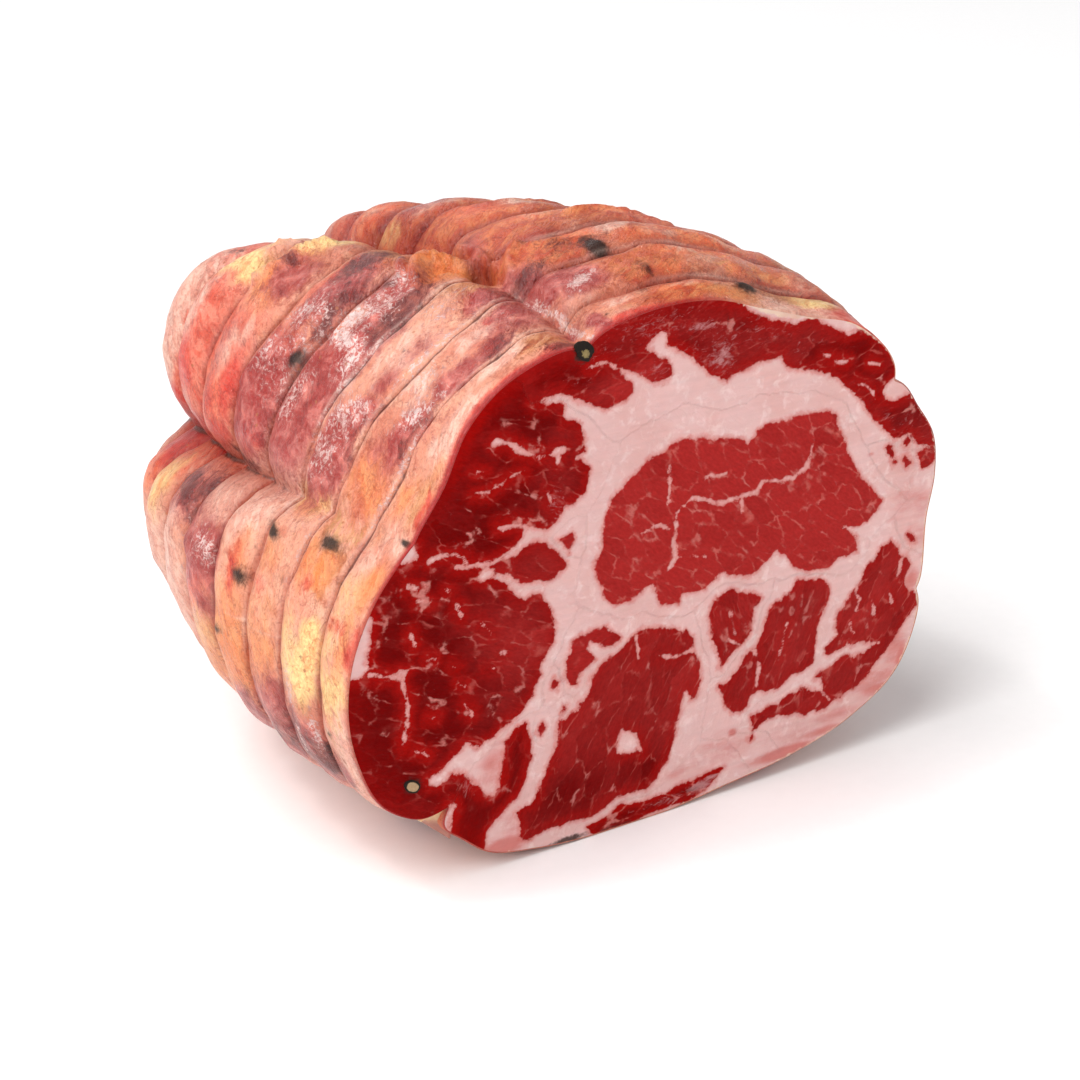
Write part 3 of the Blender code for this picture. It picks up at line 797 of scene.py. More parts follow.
@dataclass(frozen=True)
class NaturalCasing:
    """Natural casing: thin gut, dried on the meat, matt with a moist sheen where it is stretched.

    The eye sees fat and meat through it, so its colour comes in soft blotches from cream to rose, broken by
    whitish wrinkles, and it is glossy only in the creases and on the taut lobes. Its colour also carries
    painted shade in the valleys, the folds and the wrinkles, painted highlights on the frosted and pale
    blotches, and painted light from behind on the top.
    """

    name: str = "natural casing, dried on pork"
    peach: str = "#de9a7e"
    salmon: str = "#d08066"
    cream: str = "#e8bb9c"
    thick: str = "#d08676"
    # Painted shade: the brown of the valleys and folds, which the dark pores take too.
    valley_shade: str = "#b4664e"
    # Painted shade in the thin wrinkles.
    crease: str = "#a8604e"
    # The string's brown imprint, also used as painted shade in the grooves and at the bottom of the folds.
    cord_mark_and_shade: str = "#58281c"
    # Pale of stretched casing, also used for the painted highlights on crests.
    stretched: str = "#f2d3c2"
    lean_edge: str = "#a11a14"
    speck: str = "#a8603c"
    roughness: Pair = (0.24, 0.5)
    # For each tint: share of its stored strength, fraying by fibres and by crinkle, and the edge's two ends.
    edges: dict[Tint, tuple[float, ...]] = field(default_factory=lambda: {
        Tint.RUST: (1.0, 0.9, 0.5, 0.15, 0.9),
        Tint.SALMON: (1.0, 0.9, 0.5, 0.15, 0.9),
        Tint.AMBER: (1.0, 0.8, 0.5, 0.15, 0.95),
        Tint.PALE: (1.0, 0.9, 0.4, 0.15, 0.85),
        Tint.TAN: (1.0, 1.5, 0.5, 0.25, 0.85),
        Tint.YELLOW: (1.0, 1.4, 0.8, 0.25, 1.05),
        Tint.ORANGE: (1.0, 0.9, 0.4, 0.2, 0.95),
        Tint.CORAL: (1.0, 1.0, 0.6, 0.25, 0.9),
        Tint.ROSE: (1.0, 0.85, 0.7, 0.15, 0.85),
        Tint.MAROON_AND_SHADE: (0.9, 1.6, 1.4, 0.35, 1.1),
        Tint.FROST_AND_SHEEN: (0.62, 0.9, 2.7, 0.34, 0.88),
        Tint.GRIT: (1.0, 0.7, 0.9, 0.14, 1.2),
    })

    def build(self) -> bpy.types.Material:
        """Makes the material.

        Returns:
            The material, which reads the tints and lines stored on the casing.
        """
        material, node, shader = new_material(self.name)
        place = node("TexCoord").outputs["Object"]
        slant, round_band = (
            node("Attribute", attribute_name=name).outputs["Vector"] for name in ("slant", "round_band")
        )
        valley_shade, cord_mark_and_shade, pale_line, beside_cord, red_edge = (
            node("Attribute", attribute_name=name).outputs["Fac"]
            for name in ("valley_shade", "cord_mark_and_shade", "pale_line", "beside_cord", "red_edge")
        )
        # Noises: clouds of 22 and 9 mm, blotches of 4 mm, a crinkle of 1 mm, and gut fibres of 2.4 mm that
        # are drawn out on a slant.
        clouds, mottle, blotches, crinkle, fibres = (
            node("TexNoise", {
                "Vector": lay, "Scale": scale, "Detail": detail, "Roughness": rough, "Distortion": bent,
            })
            for lay, scale, detail, rough, bent in (
                (place, per_mm(22.0), 3.0, 0.5, 0.0), (place, per_mm(9.0), 5.0, 0.62, 0.5),
                (place, per_mm(3.6), 6.0, 0.64, 0.7), (place, per_mm(0.9), 4.0, 0.7, 1.0),
                (slant, 1.0 / 2.4, 4.0, 0.6, 0.5),
            )
        )
        # The ground: peach, with salmon and cream clouds.
        salmon_share = node("MapRange", {0: clouds, 1: 0.4, 2: 0.66}, **SMOOTH)
        cream_share = node("MapRange", {0: mottle, 1: 0.5, 2: 0.72, 4: 0.6}, **SMOOTH)
        colour = linear(self.peach)
        for mask, code in ((salmon_share, self.salmon), (cream_share, self.cream)):
            colour = node("Mix", {SHARE: mask, UNDER: colour, OVER: linear(code)}, **BLEND)
        # The tints, one over the other. Fibres and crinkle fray the edge of every patch, and each tint has a
        # grain of its own: blotchy where the crinkle frays it, and otherwise in streaks.
        streaky = node("MapRange", {0: fibres, 1: 0.42, 2: 0.64}, **SMOOTH)
        blotchy = node("Math", {0: crinkle, 1: 0.45, 2: -0.225}, **TIMES_PLUS)
        blotchy = node("Math", {0: blotchy, 1: blotches}, **PLUS)
        blotchy = node("MapRange", {0: blotchy, 1: 0.42, 2: 0.68}, **SMOOTH)
        masks = {}
        for tint, (share, coarse, fine, low, high) in self.edges.items():
            amount = node("Attribute", attribute_name=tint.name.lower()).outputs["Fac"]
            frayed = node("Math", {0: fibres, 1: coarse, 2: -0.5 * (coarse + fine)}, **TIMES_PLUS)
            frayed = node("Math", {0: crinkle, 1: fine, 2: frayed}, **TIMES_PLUS)
            gate = node("MapRange", {0: amount, 1: 0.03, 2: 0.3}, **SMOOTH)
            frayed = node("Math", {0: frayed, 1: gate}, **TIMES)
            moved = node("Math", {0: amount, 1: share, 2: frayed}, **TIMES_PLUS)
            masks[tint] = node("MapRange", {0: moved, 1: low, 2: high, 4: 0.94}, **SMOOTH)
            main, second = (linear(code) for code in tint.value)
            own = node("Mix", {SHARE: blotchy if fine > 0.5 else streaky, UNDER: main, OVER: second}, **BLEND)
            colour = node("Mix", {SHARE: masks[tint], UNDER: colour, OVER: own}, **BLEND)
        # Darker and redder where the gut is thick.
        for grain, low, high, most in (
            (fibres, 0.52, 0.7, 0.32), (crinkle, 0.52, 0.7, 0.36), (blotches, 0.5, 0.3, 0.5),
        ):
            thick = node("MapRange", {0: grain, 1: low, 2: high, 4: most}, **SMOOTH)
            colour = node("Mix", {SHARE: thick, UNDER: colour, OVER: linear(self.thick)}, **DARKEN)
        # Paler where it is stretched over a lump.
        # Paler in blotches: partly stretched casing, partly painted highlights on the crests of lumps.
        taut = node("MapRange", {0: blotches, 1: 0.56, 2: 0.72, 4: 0.45}, **SMOOTH)
        colour = node(
            "Mix", {SHARE: taut, UNDER: colour, OVER: linear(self.stretched)}, **BLEND,
            blend_type="SOFT_LIGHT",
        )
        # Painted shade: darker and browner in the valleys between the bands and in the folds.
        colour = node("Mix", {SHARE: valley_shade, UNDER: colour, OVER: linear(self.valley_shade)}, **DARKEN)
        # Small brown specks of spice, about one in 4 mm, and dark pores, about one in 2 mm.
        specks, pores = (
            node("TexVoronoi", {"Vector": place, "Scale": per_mm(size), "Randomness": 1.0})
            for size in (4.2, 2.1)
        )
        speck = node("MapRange", {0: specks, 1: 0.11, 2: 0.04, 4: 0.75}, **SMOOTH)
        colour = node("Mix", {SHARE: speck, UNDER: colour, OVER: linear(self.speck)}, **BLEND)
        pore = node("MapRange", {0: pores, 1: 0.13, 2: 0.04, 4: 0.55}, **SMOOTH)
        pore = node("Math", {0: pore, 1: crinkle}, **TIMES)
        colour = node("Mix", {SHARE: pore, UNDER: colour, OVER: linear(self.valley_shade)}, **DARKEN)
        # Lines, all broken by the grain: the imprint of the string is brown and whitish beside it, its brown
        # is also painted shade deep in the grooves and at the bottom of the folds, a few lines where the
        # casing is folded on itself are pale, and the lean shows red through the edge of the cut.
        brown = node("Math", {0: cord_mark_and_shade, 1: fibres}, **TIMES)
        brown = node("MapRange", {0: brown, 1: 0.12, 2: 0.42, 4: 0.82}, **SMOOTH)
        pale = node("Math", {0: pale_line, 1: fibres}, **TIMES)
        pale = node("MapRange", {0: pale, 1: 0.18, 2: 0.6, 4: 0.6}, **SMOOTH)
        beside = node("Math", {0: beside_cord, 1: mottle}, **TIMES, use_clamp=True)
        for line, code in (
            (brown, self.cord_mark_and_shade), (pale, self.stretched), (beside, self.stretched),
            (red_edge, self.lean_edge),
        ):
            colour = node("Mix", {SHARE: line, UNDER: colour, OVER: linear(code)}, **BLEND)
        # Fine brightness grain of the dried gut.
        light = node("MapRange", {0: crinkle, 1: 0.3, 2: 0.7, 3: 1.13, 4: 0.85})
        colour = node("VectorMath", {0: colour, "Scale": light}, operation="SCALE")
        # Thin wrinkles: the lines where two broad noises, along the bands and on a slant, cross a level.
        wrinkles = []
        for lay, size in ((round_band, 4.2), (slant, 6.4)):
            waves = node("TexNoise", {
                "Vector": lay, "Scale": 1.0 / size, "Detail": 4.0, "Roughness": 0.62, "Distortion": 1.1,
            })
            aside = node("Math", {0: waves, 1: 0.5}, operation="SUBTRACT")
            aside = node("Math", {0: aside}, operation="ABSOLUTE")
            wrinkles.append(node("MapRange", {0: aside, 1: 0.025, 2: 0.0}, **SMOOTH))
        wrinkle = node("Math", {0: wrinkles[0], 1: wrinkles[1]}, operation="MAXIMUM")
        # Painted shade in the thin wrinkles, where the mottle lets it through.
        wrinkle_shade = node("MapRange", {0: mottle, 1: 0.42, 2: 0.62, 4: 0.42}, **SMOOTH)
        wrinkle_shade = node("Math", {0: wrinkle, 1: wrinkle_shade}, **TIMES)
        colour = node("Mix", {SHARE: wrinkle_shade, UNDER: colour, OVER: linear(self.crease)}, **DARKEN)
        # Relief: those wrinkles, the fibres, and the crinkle, which grows where the casing is frosted.
        rough = node("Math", {0: masks[Tint.FROST_AND_SHEEN], 1: 0.4, 2: 0.6}, **TIMES_PLUS)
        bump = node("Bump", {"Strength": rough, "Distance": 0.45 * MM, "Height": crinkle})
        bump = node("Bump", {"Strength": 0.55, "Distance": 0.9 * MM, "Height": fibres, "Normal": bump})
        bump = node(
            "Bump", {"Strength": 0.35, "Distance": 0.3 * MM, "Height": wrinkle, "Normal": bump}, invert=True,
        )
        gloss = node("MapRange", {0: fibres, 1: 0.3, 2: 0.7, 3: self.roughness[0], 4: self.roughness[1]})
        # A film of moisture: strong on the frosted and rosy patches, hardly any on the dry ones.
        moist = node("Math", {0: masks[Tint.FROST_AND_SHEEN], 1: 0.5, 2: 0.2}, **TIMES_PLUS)
        moist = node("Math", {0: masks[Tint.ROSE], 1: 0.22, 2: moist}, **TIMES_PLUS)
        clean = node("Math", {0: 1.0, 1: masks[Tint.GRIT]}, operation="SUBTRACT")
        moist = node("Math", {0: moist, 1: clean}, **TIMES)
        plug(shader, {
            "Base Color": colour, "Roughness": gloss, "Normal": bump, "IOR": 1.45, "Specular IOR Level": 0.3,
            "Subsurface Weight": 0.12, "Subsurface Radius": (1.0, 0.45, 0.3), "Subsurface Scale": 0.9 * MM,
            "Coat Weight": moist, "Coat Roughness": 0.1, "Coat Normal": bump,
        })
        return material


@dataclass
class Casing:
    """The tied casing: bands between the imprints of the string, lengthwise folds and a gathered rear."""

    form: CoppaForm
    finish: NaturalCasing = field(default_factory=NaturalCasing)
    columns: tuple[int, ...] = (62, 66, 130, 54, 86)
    band_rows: int = 23
    tip_rows: int = 18
    row_crowding: float = 0.62
    # The lip rolls over the edge of the cut: inset from the rim and depth behind the cut.
    lip: Table = ((0.9, 1.0), (0.35, 0.04), (0.14, -0.02), (0.0, 0.2))
    groove_depth: float = 0.42
    groove_half_width: float = 0.36
    pinch: float = 0.9
    # The string pulled the front bands less tight: how much of each crease is filled, by run and direction.
    filled: Table = (
        (6.0, 0.9), (12.0, 0.9), (25.0, 0.86), (31.0, 0.8), (37.5, 0.72), (46.0, 0.5), (52.0, 0.3),
        (66.5, 0.12), (81.0, 0.0),
    )
    filled_round: Table = (
        (30, 0.2), (60, 0.2), (88, 0.3), (100, 0.6), (112, 1.0), (155, 1.0), (168, 0.7), (180, 0.6),
        (205, 0.5), (260, 0.5),
    )
    # Ridges where the casing is gathered: the line in directions and distances run, half width and height.
    ridges: tuple[tuple[Table, float, float], ...] = (
        (((106, 41), (108.5, 45), (111.5, 47), (114.5, 46.5), (117.5, 44)), 1.3, 2.8),
        (((107.5, 50), (110.5, 52), (114, 51.5), (117.5, 48.5)), 1.0, 2.2),
        (((104.5, 36), (103.6, 42), (104.2, 48)), 0.9, 1.5), (((107.4, 35.5), (106.8, 39.5)), 1.1, -2.6),
        (((109.5, 42), (113, 43.6), (116, 42)), 0.7, -1.4),
        (((104.6, 31), (102.2, 34), (99.4, 36)), 0.9, 1.4),
        (((117, 74), (121, 77), (126, 76.5), (131, 78.5)), 1.1, 2.0),
        (((119, 81), (124, 83.5), (129, 83)), 1.0, 1.7), (((114, 79), (118, 82), (121, 86)), 0.9, 1.5),
        (((118, 40.5), (126, 44.5), (134, 44), (143, 47)), 0.8, 0.6),
        (((122, 48.5), (131, 49.5), (140, 50.2)), 0.9, 0.5),
        (((128, 55), (137, 58), (147, 57.5), (153, 60)), 1.0, 0.8),
        (((134, 63), (142, 62), (150, 64)), 0.9, 0.6), (((99, 15), (104, 18.5), (110, 19)), 0.8, 0.6),
        (((89, 31), (96, 33), (101, 36)), 0.9, 0.7), (((75, 20), (84, 22.5), (93, 21)), 0.9, 0.6),
        (((178, 54), (181, 60), (179, 65)), 0.9, 0.7),
        (((70, 60), (80, 63), (90, 61), (98, 64)), 1.1, 0.8), (((60, 42), (72, 46), (84, 44)), 1.0, 0.8),
        (((250, 30), (262, 34), (275, 31)), 1.0, 0.7), (((320, 60), (332, 64), (345, 61)), 1.1, 0.8),
        (((10, 44), (22, 47), (32, 45)), 1.0, 0.8), (((15, 75), (28, 72), (38, 76)), 1.2, 0.9),
        (((18, 31), (27, 32.5), (36, 30)), 3.0, 1.1), (((20, 58), (31, 60), (40, 57)), 3.5, 1.3),
        (((16, 18), (26, 17), (34, 20)), 2.4, 0.9), (((24, 88), (33, 90), (42, 88)), 3.0, 1.2),
    )
    # Grains of pepper under the casing: direction, distance run, half width and height.
    bumps: Rows = (
        (166.0, 18.6, 1.9, 0.6), (178.0, 40.0, 1.6, 0.5), (169.0, 35.6, 1.3, 0.5), (188.6, 48.0, 1.4, 0.5),
        (141.3, 53.4, 1.8, 0.6), (89.4, 27.2, 2.1, 0.7), (87.3, 15.5, 1.6, 0.5), (66.8, 9.4, 2.2, 0.7),
        (20.0, 58.0, 1.8, 0.6), (300.0, 44.0, 1.6, 0.5), (330.0, 86.0, 1.9, 0.6), (75.0, 76.0, 1.7, 0.6),
    )
    red_edge: Table = (
        (0, 0.3), (38, 0.0), (66, 0.0), (80, 0.7), (95, 1.0), (165, 1.0), (178, 0.6), (192, 0.5),
        (205, 1.0), (222, 0.8), (240, 0.5), (300, 0.3),
    )
    # How strongly each band of imprints is marked brown, by direction: hardest on the top, where the brown is
    # also painted shade in the grooves.
    marked: Table = (
        (30, 0.6), (70, 0.95), (96, 1.1), (112, 1.1), (150, 1.0), (165, 0.8), (190, 0.75), (230, 0.6),
    )
    # How much wider the painted shade of the valleys is, by direction.
    wider_valley_shade: Table = ((20, 0.4), (60, 1.0), (100, 1.0), (112, 0.0), (200, 0.0), (300, 0.4))
    # The radius at which directions are taken as lengths for grains and noises.
    skin_radius: float = 50.0
    # Patches and grains on the sides that don't show, and how often each tint comes, from the lowest up.
    unseen_patches: int = 170
    unseen_grains: int = 26
    seen_bumps: int = 8
    chances: tuple[float, ...] = (3.0, 2.0, 3.0, 4.0, 2.0, 3.0, 3.0, 2.0, 6.0, 3.0, 6.0)
    seed: int = 41

    def row_runs(self) -> np.ndarray:
        """Distances behind the cut at which the skin has a row, crowded at the rings.

        Returns:
            The distances.
        """
        edges = (0.45,) + self.form.rings
        runs = []
        for start, end in zip(edges[:-1], edges[1:]):
            runs.extend(start + (end - start) * crowd(self.band_rows, self.row_crowding))
        last = self.form.rings[-1]
        tip = self.form.whole_run - last
        runs.extend(last + tip * np.arange(self.tip_rows) / self.tip_rows)
        return np.array(runs)

    def from_ring(self, angle: np.ndarray, run: np.ndarray | float) -> np.ndarray:
        """Distance from the nearest imprint of the string, which wavers a little round the coppa.

        Args:
            angle: directions in degrees.
            run: distance along the skin behind the cut.

        Returns:
            One distance for each direction.
        """
        run = np.broadcast_to(run, angle.shape)
        rings = np.array(self.form.rings)
        # Each ring, 14 mm from the last, wavers in a way of its own.
        circle = around(angle, np.zeros(len(angle)), self.skin_radius)
        waver = 0.28 * soft_noise(circle + np.round(run / 14.0)[:, None] * 3.7, 9.0, 61)
        return np.min(np.abs((run + waver)[:, None] - rings[None, :]), axis=1)

    def proud(self, angle: np.ndarray, run: float) -> np.ndarray:
        """How far the skin stands off the plain form along one row: grooves, ridges and pepper.

        Args:
            angle: directions in degrees.
            run: distance along the skin behind the cut.

        Returns:
            One height for each direction.
        """
        aside = self.from_ring(angle, run)
        tight = self.tight(angle, run)
        groove = self.groove_depth * bell(aside, self.groove_half_width)
        groove = groove + self.pinch * tight * np.exp(-aside / 2.2)
        groove = groove * (1.0 if run < self.form.rings[-1] - 6.0 else 0.4)
        groove = groove - (1.0 - tight) * self.form.crease_depth(run)
        height = -groove
        flat = np.stack([angle % 360.0 * DEGREE, np.full(len(angle), run)], -1)
        for line, half_width, tall in self.ridges:
            path = np.array(line, float) * (DEGREE, 1.0)
            if abs(run - path[:, 1].mean()) < 20.0:
                height = height + tall * bell(distance_to_line(flat, path, False), half_width)
        for direction, place, half_width, tall in self.bumps:
            across = np.radians(turn_between(angle, direction)) * self.form.centre[1]
            height = height + tall * bell(np.hypot(across, run - place), half_width)
        return height

    def tight(self, angle: np.ndarray, run: np.ndarray | float) -> np.ndarray:
        """How tight the string was: 1 where it left its whole crease."""
        return 1.0 - curve_through(run, self.filled) * curve_round(angle, self.filled_round)

    def mesh_places(self) -> tuple[np.ndarray, np.ndarray, np.ndarray]:
        """Works out every row of the skin.

        Returns:
            Places, directions and distances run, each by row and column.
        """
        places, angles, runs = [], [], []
        rim = self.form.column_angles(0.0, self.columns)
        outward = around(rim, np.zeros(len(rim)), 1.0)
        edge = self.form.skin_ring(rim, 0.0)
        for inset, behind in self.lip:
            places.append(edge - outward * inset + np.array((0.0, behind, 0.0)))
            angles.append(rim)
            runs.append(np.zeros(len(rim)))
        for run in self.row_runs():
            angle = self.form.column_angles(run, self.columns)
            places.append(self.form.skin_ring(angle, run, self.proud(angle, run)))
            angles.append(angle)
            runs.append(np.full(len(angle), run))
        return np.array(places), np.array(angles), np.array(runs)

    def shape_mesh(self) -> tuple[bpy.types.Object, np.ndarray, np.ndarray]:
        """Adds a tube, cuts it into rows and moves every point to its place on the skin.

        Returns:
            The object, and the direction and distance run of each vertex.
        """
        places, angles, runs = self.mesh_places()
        rows, columns = angles.shape
        deselect_all()
        bpy.ops.mesh.primitive_cylinder_add(
            vertices=columns, radius=1.0, depth=float(rows - 1), end_fill_type="TRIFAN", enter_editmode=True,
        )
        obj = bpy.context.object
        # One call makes at most 100 cuts, so the tube is cut into four and then each part again.
        for cuts in (3, (rows - 1) // 4 - 1):
            select_edges(obj, lambda edge: abs(edge.verts[0].co.z - edge.verts[1].co.z) > 0.5)
            bpy.ops.mesh.subdivide(number_cuts=cuts)
        bpy.ops.object.mode_set(mode="OBJECT")
        mesh = obj.data
        tube = vertex_places(mesh)
        row = np.rint(tube[:, 2] + (rows - 1) / 2.0).astype(int)
        turn = np.degrees(np.arctan2(tube[:, 0], tube[:, 1])) % 360.0
        column = (columns - np.rint(turn * columns / 360.0).astype(int)) % columns
        middle = np.hypot(tube[:, 0], tube[:, 1]) < 0.5
        skin = places[row, column]
        front = np.array((self.form.centre[0], 2.0, self.form.centre[1]))
        tip = self.form.skin_ring(np.zeros(1), self.form.whole_run)[0]
        skin[middle] = np.where(tube[middle, 2:] < 0.0, front, tip)
        mesh.vertices.foreach_set("co", self.form.placed(skin).ravel())
        self.lay_out(mesh, row, column, middle, rows, columns)
        run = np.where(middle & (tube[:, 2] > 0.0), self.form.whole_run, runs[row, column])
        return obj, angles[row, column] % 360.0, run

    def lay_out(self, mesh: bpy.types.Mesh, row: np.ndarray, column: np.ndarray, middle: np.ndarray,
                rows: int, columns: int) -> None:
        """Spreads the casing out flat, direction across and distance behind the cut upwards.

        Args:
            mesh: the casing's mesh.
            row: the row of each vertex.
            column: the column of each vertex.
            middle: which vertices close the two ends.
            rows: how many rows there are.
            columns: how many columns there are.
        """
        count = len(mesh.loops)
        vertex = np.empty(count, int)
        mesh.loops.foreach_get("vertex_index", vertex)
        sizes = np.empty(len(mesh.polygons), int)
        mesh.polygons.foreach_get("loop_total", sizes)
        owner = np.repeat(np.arange(len(sizes)), sizes)
        across = column[vertex].astype(float)
        ends = middle[vertex]
        highest = np.full(len(sizes), -1.0)
        np.maximum.at(highest, owner[~ends], across[~ends])
        across = np.where(~ends & (highest[owner] - across > columns / 2), across + columns, across)
        total = np.bincount(owner[~ends], across[~ends], len(sizes))
        number = np.maximum(np.bincount(owner[~ends], minlength=len(sizes)), 1)
        across = np.where(ends, (total / number)[owner], across)
        along = row[vertex] + 1.0
        along = np.where(ends, np.where(along < rows / 2, 0.0, rows + 1.0), along)
        layer = mesh.uv_layers.new(name="OFBake")
        spread = np.stack([across / (columns + 1.0), along / (rows + 2.0)], -1)
        layer.data.foreach_set("uv", spread.astype(np.float32).ravel())

    def all_patches(self) -> list[Patch]:
        """The patches seen on the real casing, and seeded ones of the same kind on the sides that don't show.

        Returns:
            The patches.
        """
        chosen = list(SEEN_PATCHES)
        draw = np.random.default_rng(self.seed)
        kinds = tuple(tint for tint in Tint if tint is not Tint.GRIT)
        chances = np.array(self.chances)
        for index in range(self.unseen_patches):
            kind = kinds[int(draw.choice(len(kinds), p=chances / chances.sum()))]
            behind = index % 5 < 2
            direction = draw.uniform(0.0, 360.0) if behind else draw.uniform(212.0, 402.0)
            run = draw.uniform(88.0, self.form.whole_run) if behind else draw.uniform(0.0, 120.0)
            small = 0.4 if kind in (Tint.MAROON_AND_SHADE, Tint.FROST_AND_SHEEN) else 1.0
            size = draw.uniform(4.0, 13.0) * small
            across, along = size * draw.uniform(0.6, 1.5), size * draw.uniform(0.5, 1.0)
            strength, turn = draw.uniform(0.6, 1.1), draw.uniform(-40.0, 40.0)
            chosen.append(Patch(kind, direction, run, across, along, strength, turn))
        for index in range(self.unseen_grains):
            behind = index % 3 == 0
            direction = draw.uniform(0.0, 360.0) if behind else draw.uniform(212.0, 402.0)
            run = draw.uniform(92.0, 140.0) if behind else draw.uniform(4.0, 120.0)
            size = draw.uniform(0.3, 1.4)
            chosen.append(Patch(Tint.GRIT, direction, run, size, size * draw.uniform(0.7, 1.8), 1.0))
        for direction, run, half_width, _ in self.bumps[self.seen_bumps:]:
            chosen.append(Patch(Tint.GRIT, direction, run, half_width * 0.8, half_width * 0.8, 1.2))
        return chosen

    def paint(self, mesh: bpy.types.Mesh, angle: np.ndarray, run: np.ndarray) -> None:
        """Stores how strong each tint and each line is at every vertex.

        Args:
            mesh: the casing's mesh.
            angle: the direction of each vertex.
            run: the distance run of each vertex.
        """
        # Skin coordinates that close round the coppa, drawn out on a slant and round the bands.
        store(mesh, "slant", around(angle + 0.86 * run, 0.8 * run, self.skin_radius))
        store(mesh, "round_band", around(angle, run, 22.0))
        amounts = {tint: np.zeros(len(angle)) for tint in Tint}
        out = np.interp(run, self.form.meridian[0], self.form.meridian[2])
        # The patches are drawn out of shape by wanders of 8 and 3.5 mm, so that none is a plain oval.
        deep = around(angle, run, self.form.centre[1])
        drift = soft_noise(deep, 8.0, 71) + 0.5 * soft_noise(deep, 3.5, 72)
        lift = soft_noise(deep, 8.0, 73) + 0.5 * soft_noise(deep, 3.5, 74)
        for patch in self.all_patches():
            shift = min(1.0, patch.half_run / 4.0, patch.half_direction / 4.0)
            across = turn_between(angle + 2.6 * shift * drift, patch.direction)
            # Near the tip the directions close up, so a patch keeps its real size.
            across = across * np.maximum(out, 0.15)
            behind = run + 1.3 * shift * lift - patch.run
            lean = math.radians(patch.turn)
            u = across * math.cos(lean) + behind * math.sin(lean)
            v = behind * math.cos(lean) - across * math.sin(lean)
            # A large patch fills its band; a small one is round.
            power = 4.0 if patch.half_run >= 4.0 else 2.0
            apart = (u / patch.half_direction) ** 2 + np.abs(v / patch.half_run) ** power
            amount = patch.strength * np.exp(-HALVING * np.minimum(apart, 60.0))
            amounts[patch.tint] = np.maximum(amounts[patch.tint], amount)
        for tint, amount in amounts.items():
            store(mesh, tint.name.lower(), amount)
        flat = np.stack([angle * DEGREE, run], -1)
        line = np.zeros(len(angle))
        near = (angle > 90.0) & (angle < 210.0) & (run < 60.0)
        for points in PALE_LINES:
            from_line = distance_to_line(flat[near], np.array(points, float) * (DEGREE, 1.0), False)
            line[near] = np.maximum(line[near], bell(from_line, 0.35))
        store(mesh, "pale_line", 0.7 * line)
        # Painted shade in the folds: soft beside them, and a dark line at their bottom.
        depth = np.interp(run, self.form.meridian[0], self.form.meridian[1]) * self.form.length
        folded = np.zeros(len(angle))
        fold_shade_line = np.zeros(len(angle))
        for path, depths, widths in self.form.folds:
            from_fold = np.radians(turn_between(angle, curve_through(depth, path)))
            from_fold = from_fold * np.maximum(self.skin_radius * out, self.form.fold_least_radius)
            deep = np.minimum(curve_through(depth, depths) / 8.0, 1.0) ** 1.6
            soft = deep * np.exp(-np.abs(from_fold) / (curve_through(depth, widths) * 0.7))
            folded = np.maximum(folded, soft)
            fold_shade_line = np.maximum(fold_shade_line, deep * bell(from_fold, 0.5))
        # Painted shade in the valleys along the rings, wider on the top.
        aside = self.from_ring(angle, run)
        wide = 1.0 + 0.5 * curve_round(angle, self.wider_valley_shade)
        ring_shade = 0.7 * bell(aside, 1.1 * wide) + 0.35 * np.exp(-aside / (2.5 * wide))
        store(mesh, "valley_shade", np.clip(ring_shade * (0.25 + 0.75 * self.tight(angle, run)) + folded, 0.0, 1.0))
        # The string's brown imprint, marked hardest on the top as painted shade in the grooves, with the
        # painted dark line at the bottom of the folds.
        wander = 0.6 + 0.5 * soft_noise(np.stack([angle * DEGREE, run * 0.2, run * 0.0], -1), 9.0, 7)
        lobe = curve_round(angle, self.marked)
        front = 1.0 - 0.45 * smoothstep(40.0, 60.0, run)
        mark = bell(aside, 0.24) * np.clip(1.35 * wander * lobe * front, 0.0, 1.4)
        store(mesh, "cord_mark_and_shade", np.maximum(mark, 1.2 * fold_shade_line * smoothstep(2.0, 8.0, run)))
        # On both sides of the imprint the casing is stretched thin and pale.
        beside = bell(aside - 0.75, 0.35) * np.clip(wander * lobe * front - 0.35, 0.0, 1.0)
        store(mesh, "beside_cord", beside)
        # Along the left and the top the lean shows right through the edge.
        store(mesh, "red_edge", curve_round(angle, self.red_edge) * bell(run, 0.8))

    def relieve(self, obj: bpy.types.Object, run: np.ndarray) -> None:
        """Gives the skin its uneven bulges and wrinkles, which leave the rim and the foot as they are.

        Args:
            obj: the casing.
            run: the distance run of each vertex.
        """
        height = np.array([vertex.co.z for vertex in obj.data.vertices]) / MM
        free = smoothstep(0.5, 4.0, run) * smoothstep(0.2, 4.0, height)
        group = obj.vertex_groups.new(name="free skin")
        for index, weight in enumerate(free):
            group.add((index,), float(weight), "REPLACE")
        for name, size, strength, depth in (("bulges", 11.0, 2.0, 1), ("wrinkles", 3.2, 0.6, 2)):
            texture = bpy.data.textures.new(name, "CLOUDS")
            texture.noise_scale = size * MM
            texture.noise_depth = depth
            texture.noise_basis = "IMPROVED_PERLIN"
            modifier = obj.modifiers.new(name, "DISPLACE")
            modifier.texture = texture
            modifier.texture_coords = "LOCAL"
            modifier.vertex_group = group.name
            modifier.strength = strength * MM
            modifier.mid_level = 0.5
            bpy.ops.object.modifier_apply(modifier=modifier.name)
        obj.vertex_groups.clear()

    def build(self) -> bpy.types.Object:
        """Makes the casing, which stands for the solid of the whole coppa.

        Returns:
            The piece.
        """
        obj, angle, run = self.shape_mesh()
        self.paint(obj.data, angle, run)
        self.relieve(obj, run)
        bpy.ops.object.shade_smooth()
        piece = finish_object("casing", self.finish.build())
        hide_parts(NODE)
        return piece


# The cut face.


@dataclass(frozen=True)
class Muscle:
    """One muscle in the cut: its outline, how dark it is, how its fibres run and how much fat flecks it."""

    outline: Table
    tone: float
    fibre: float
    flecks: float


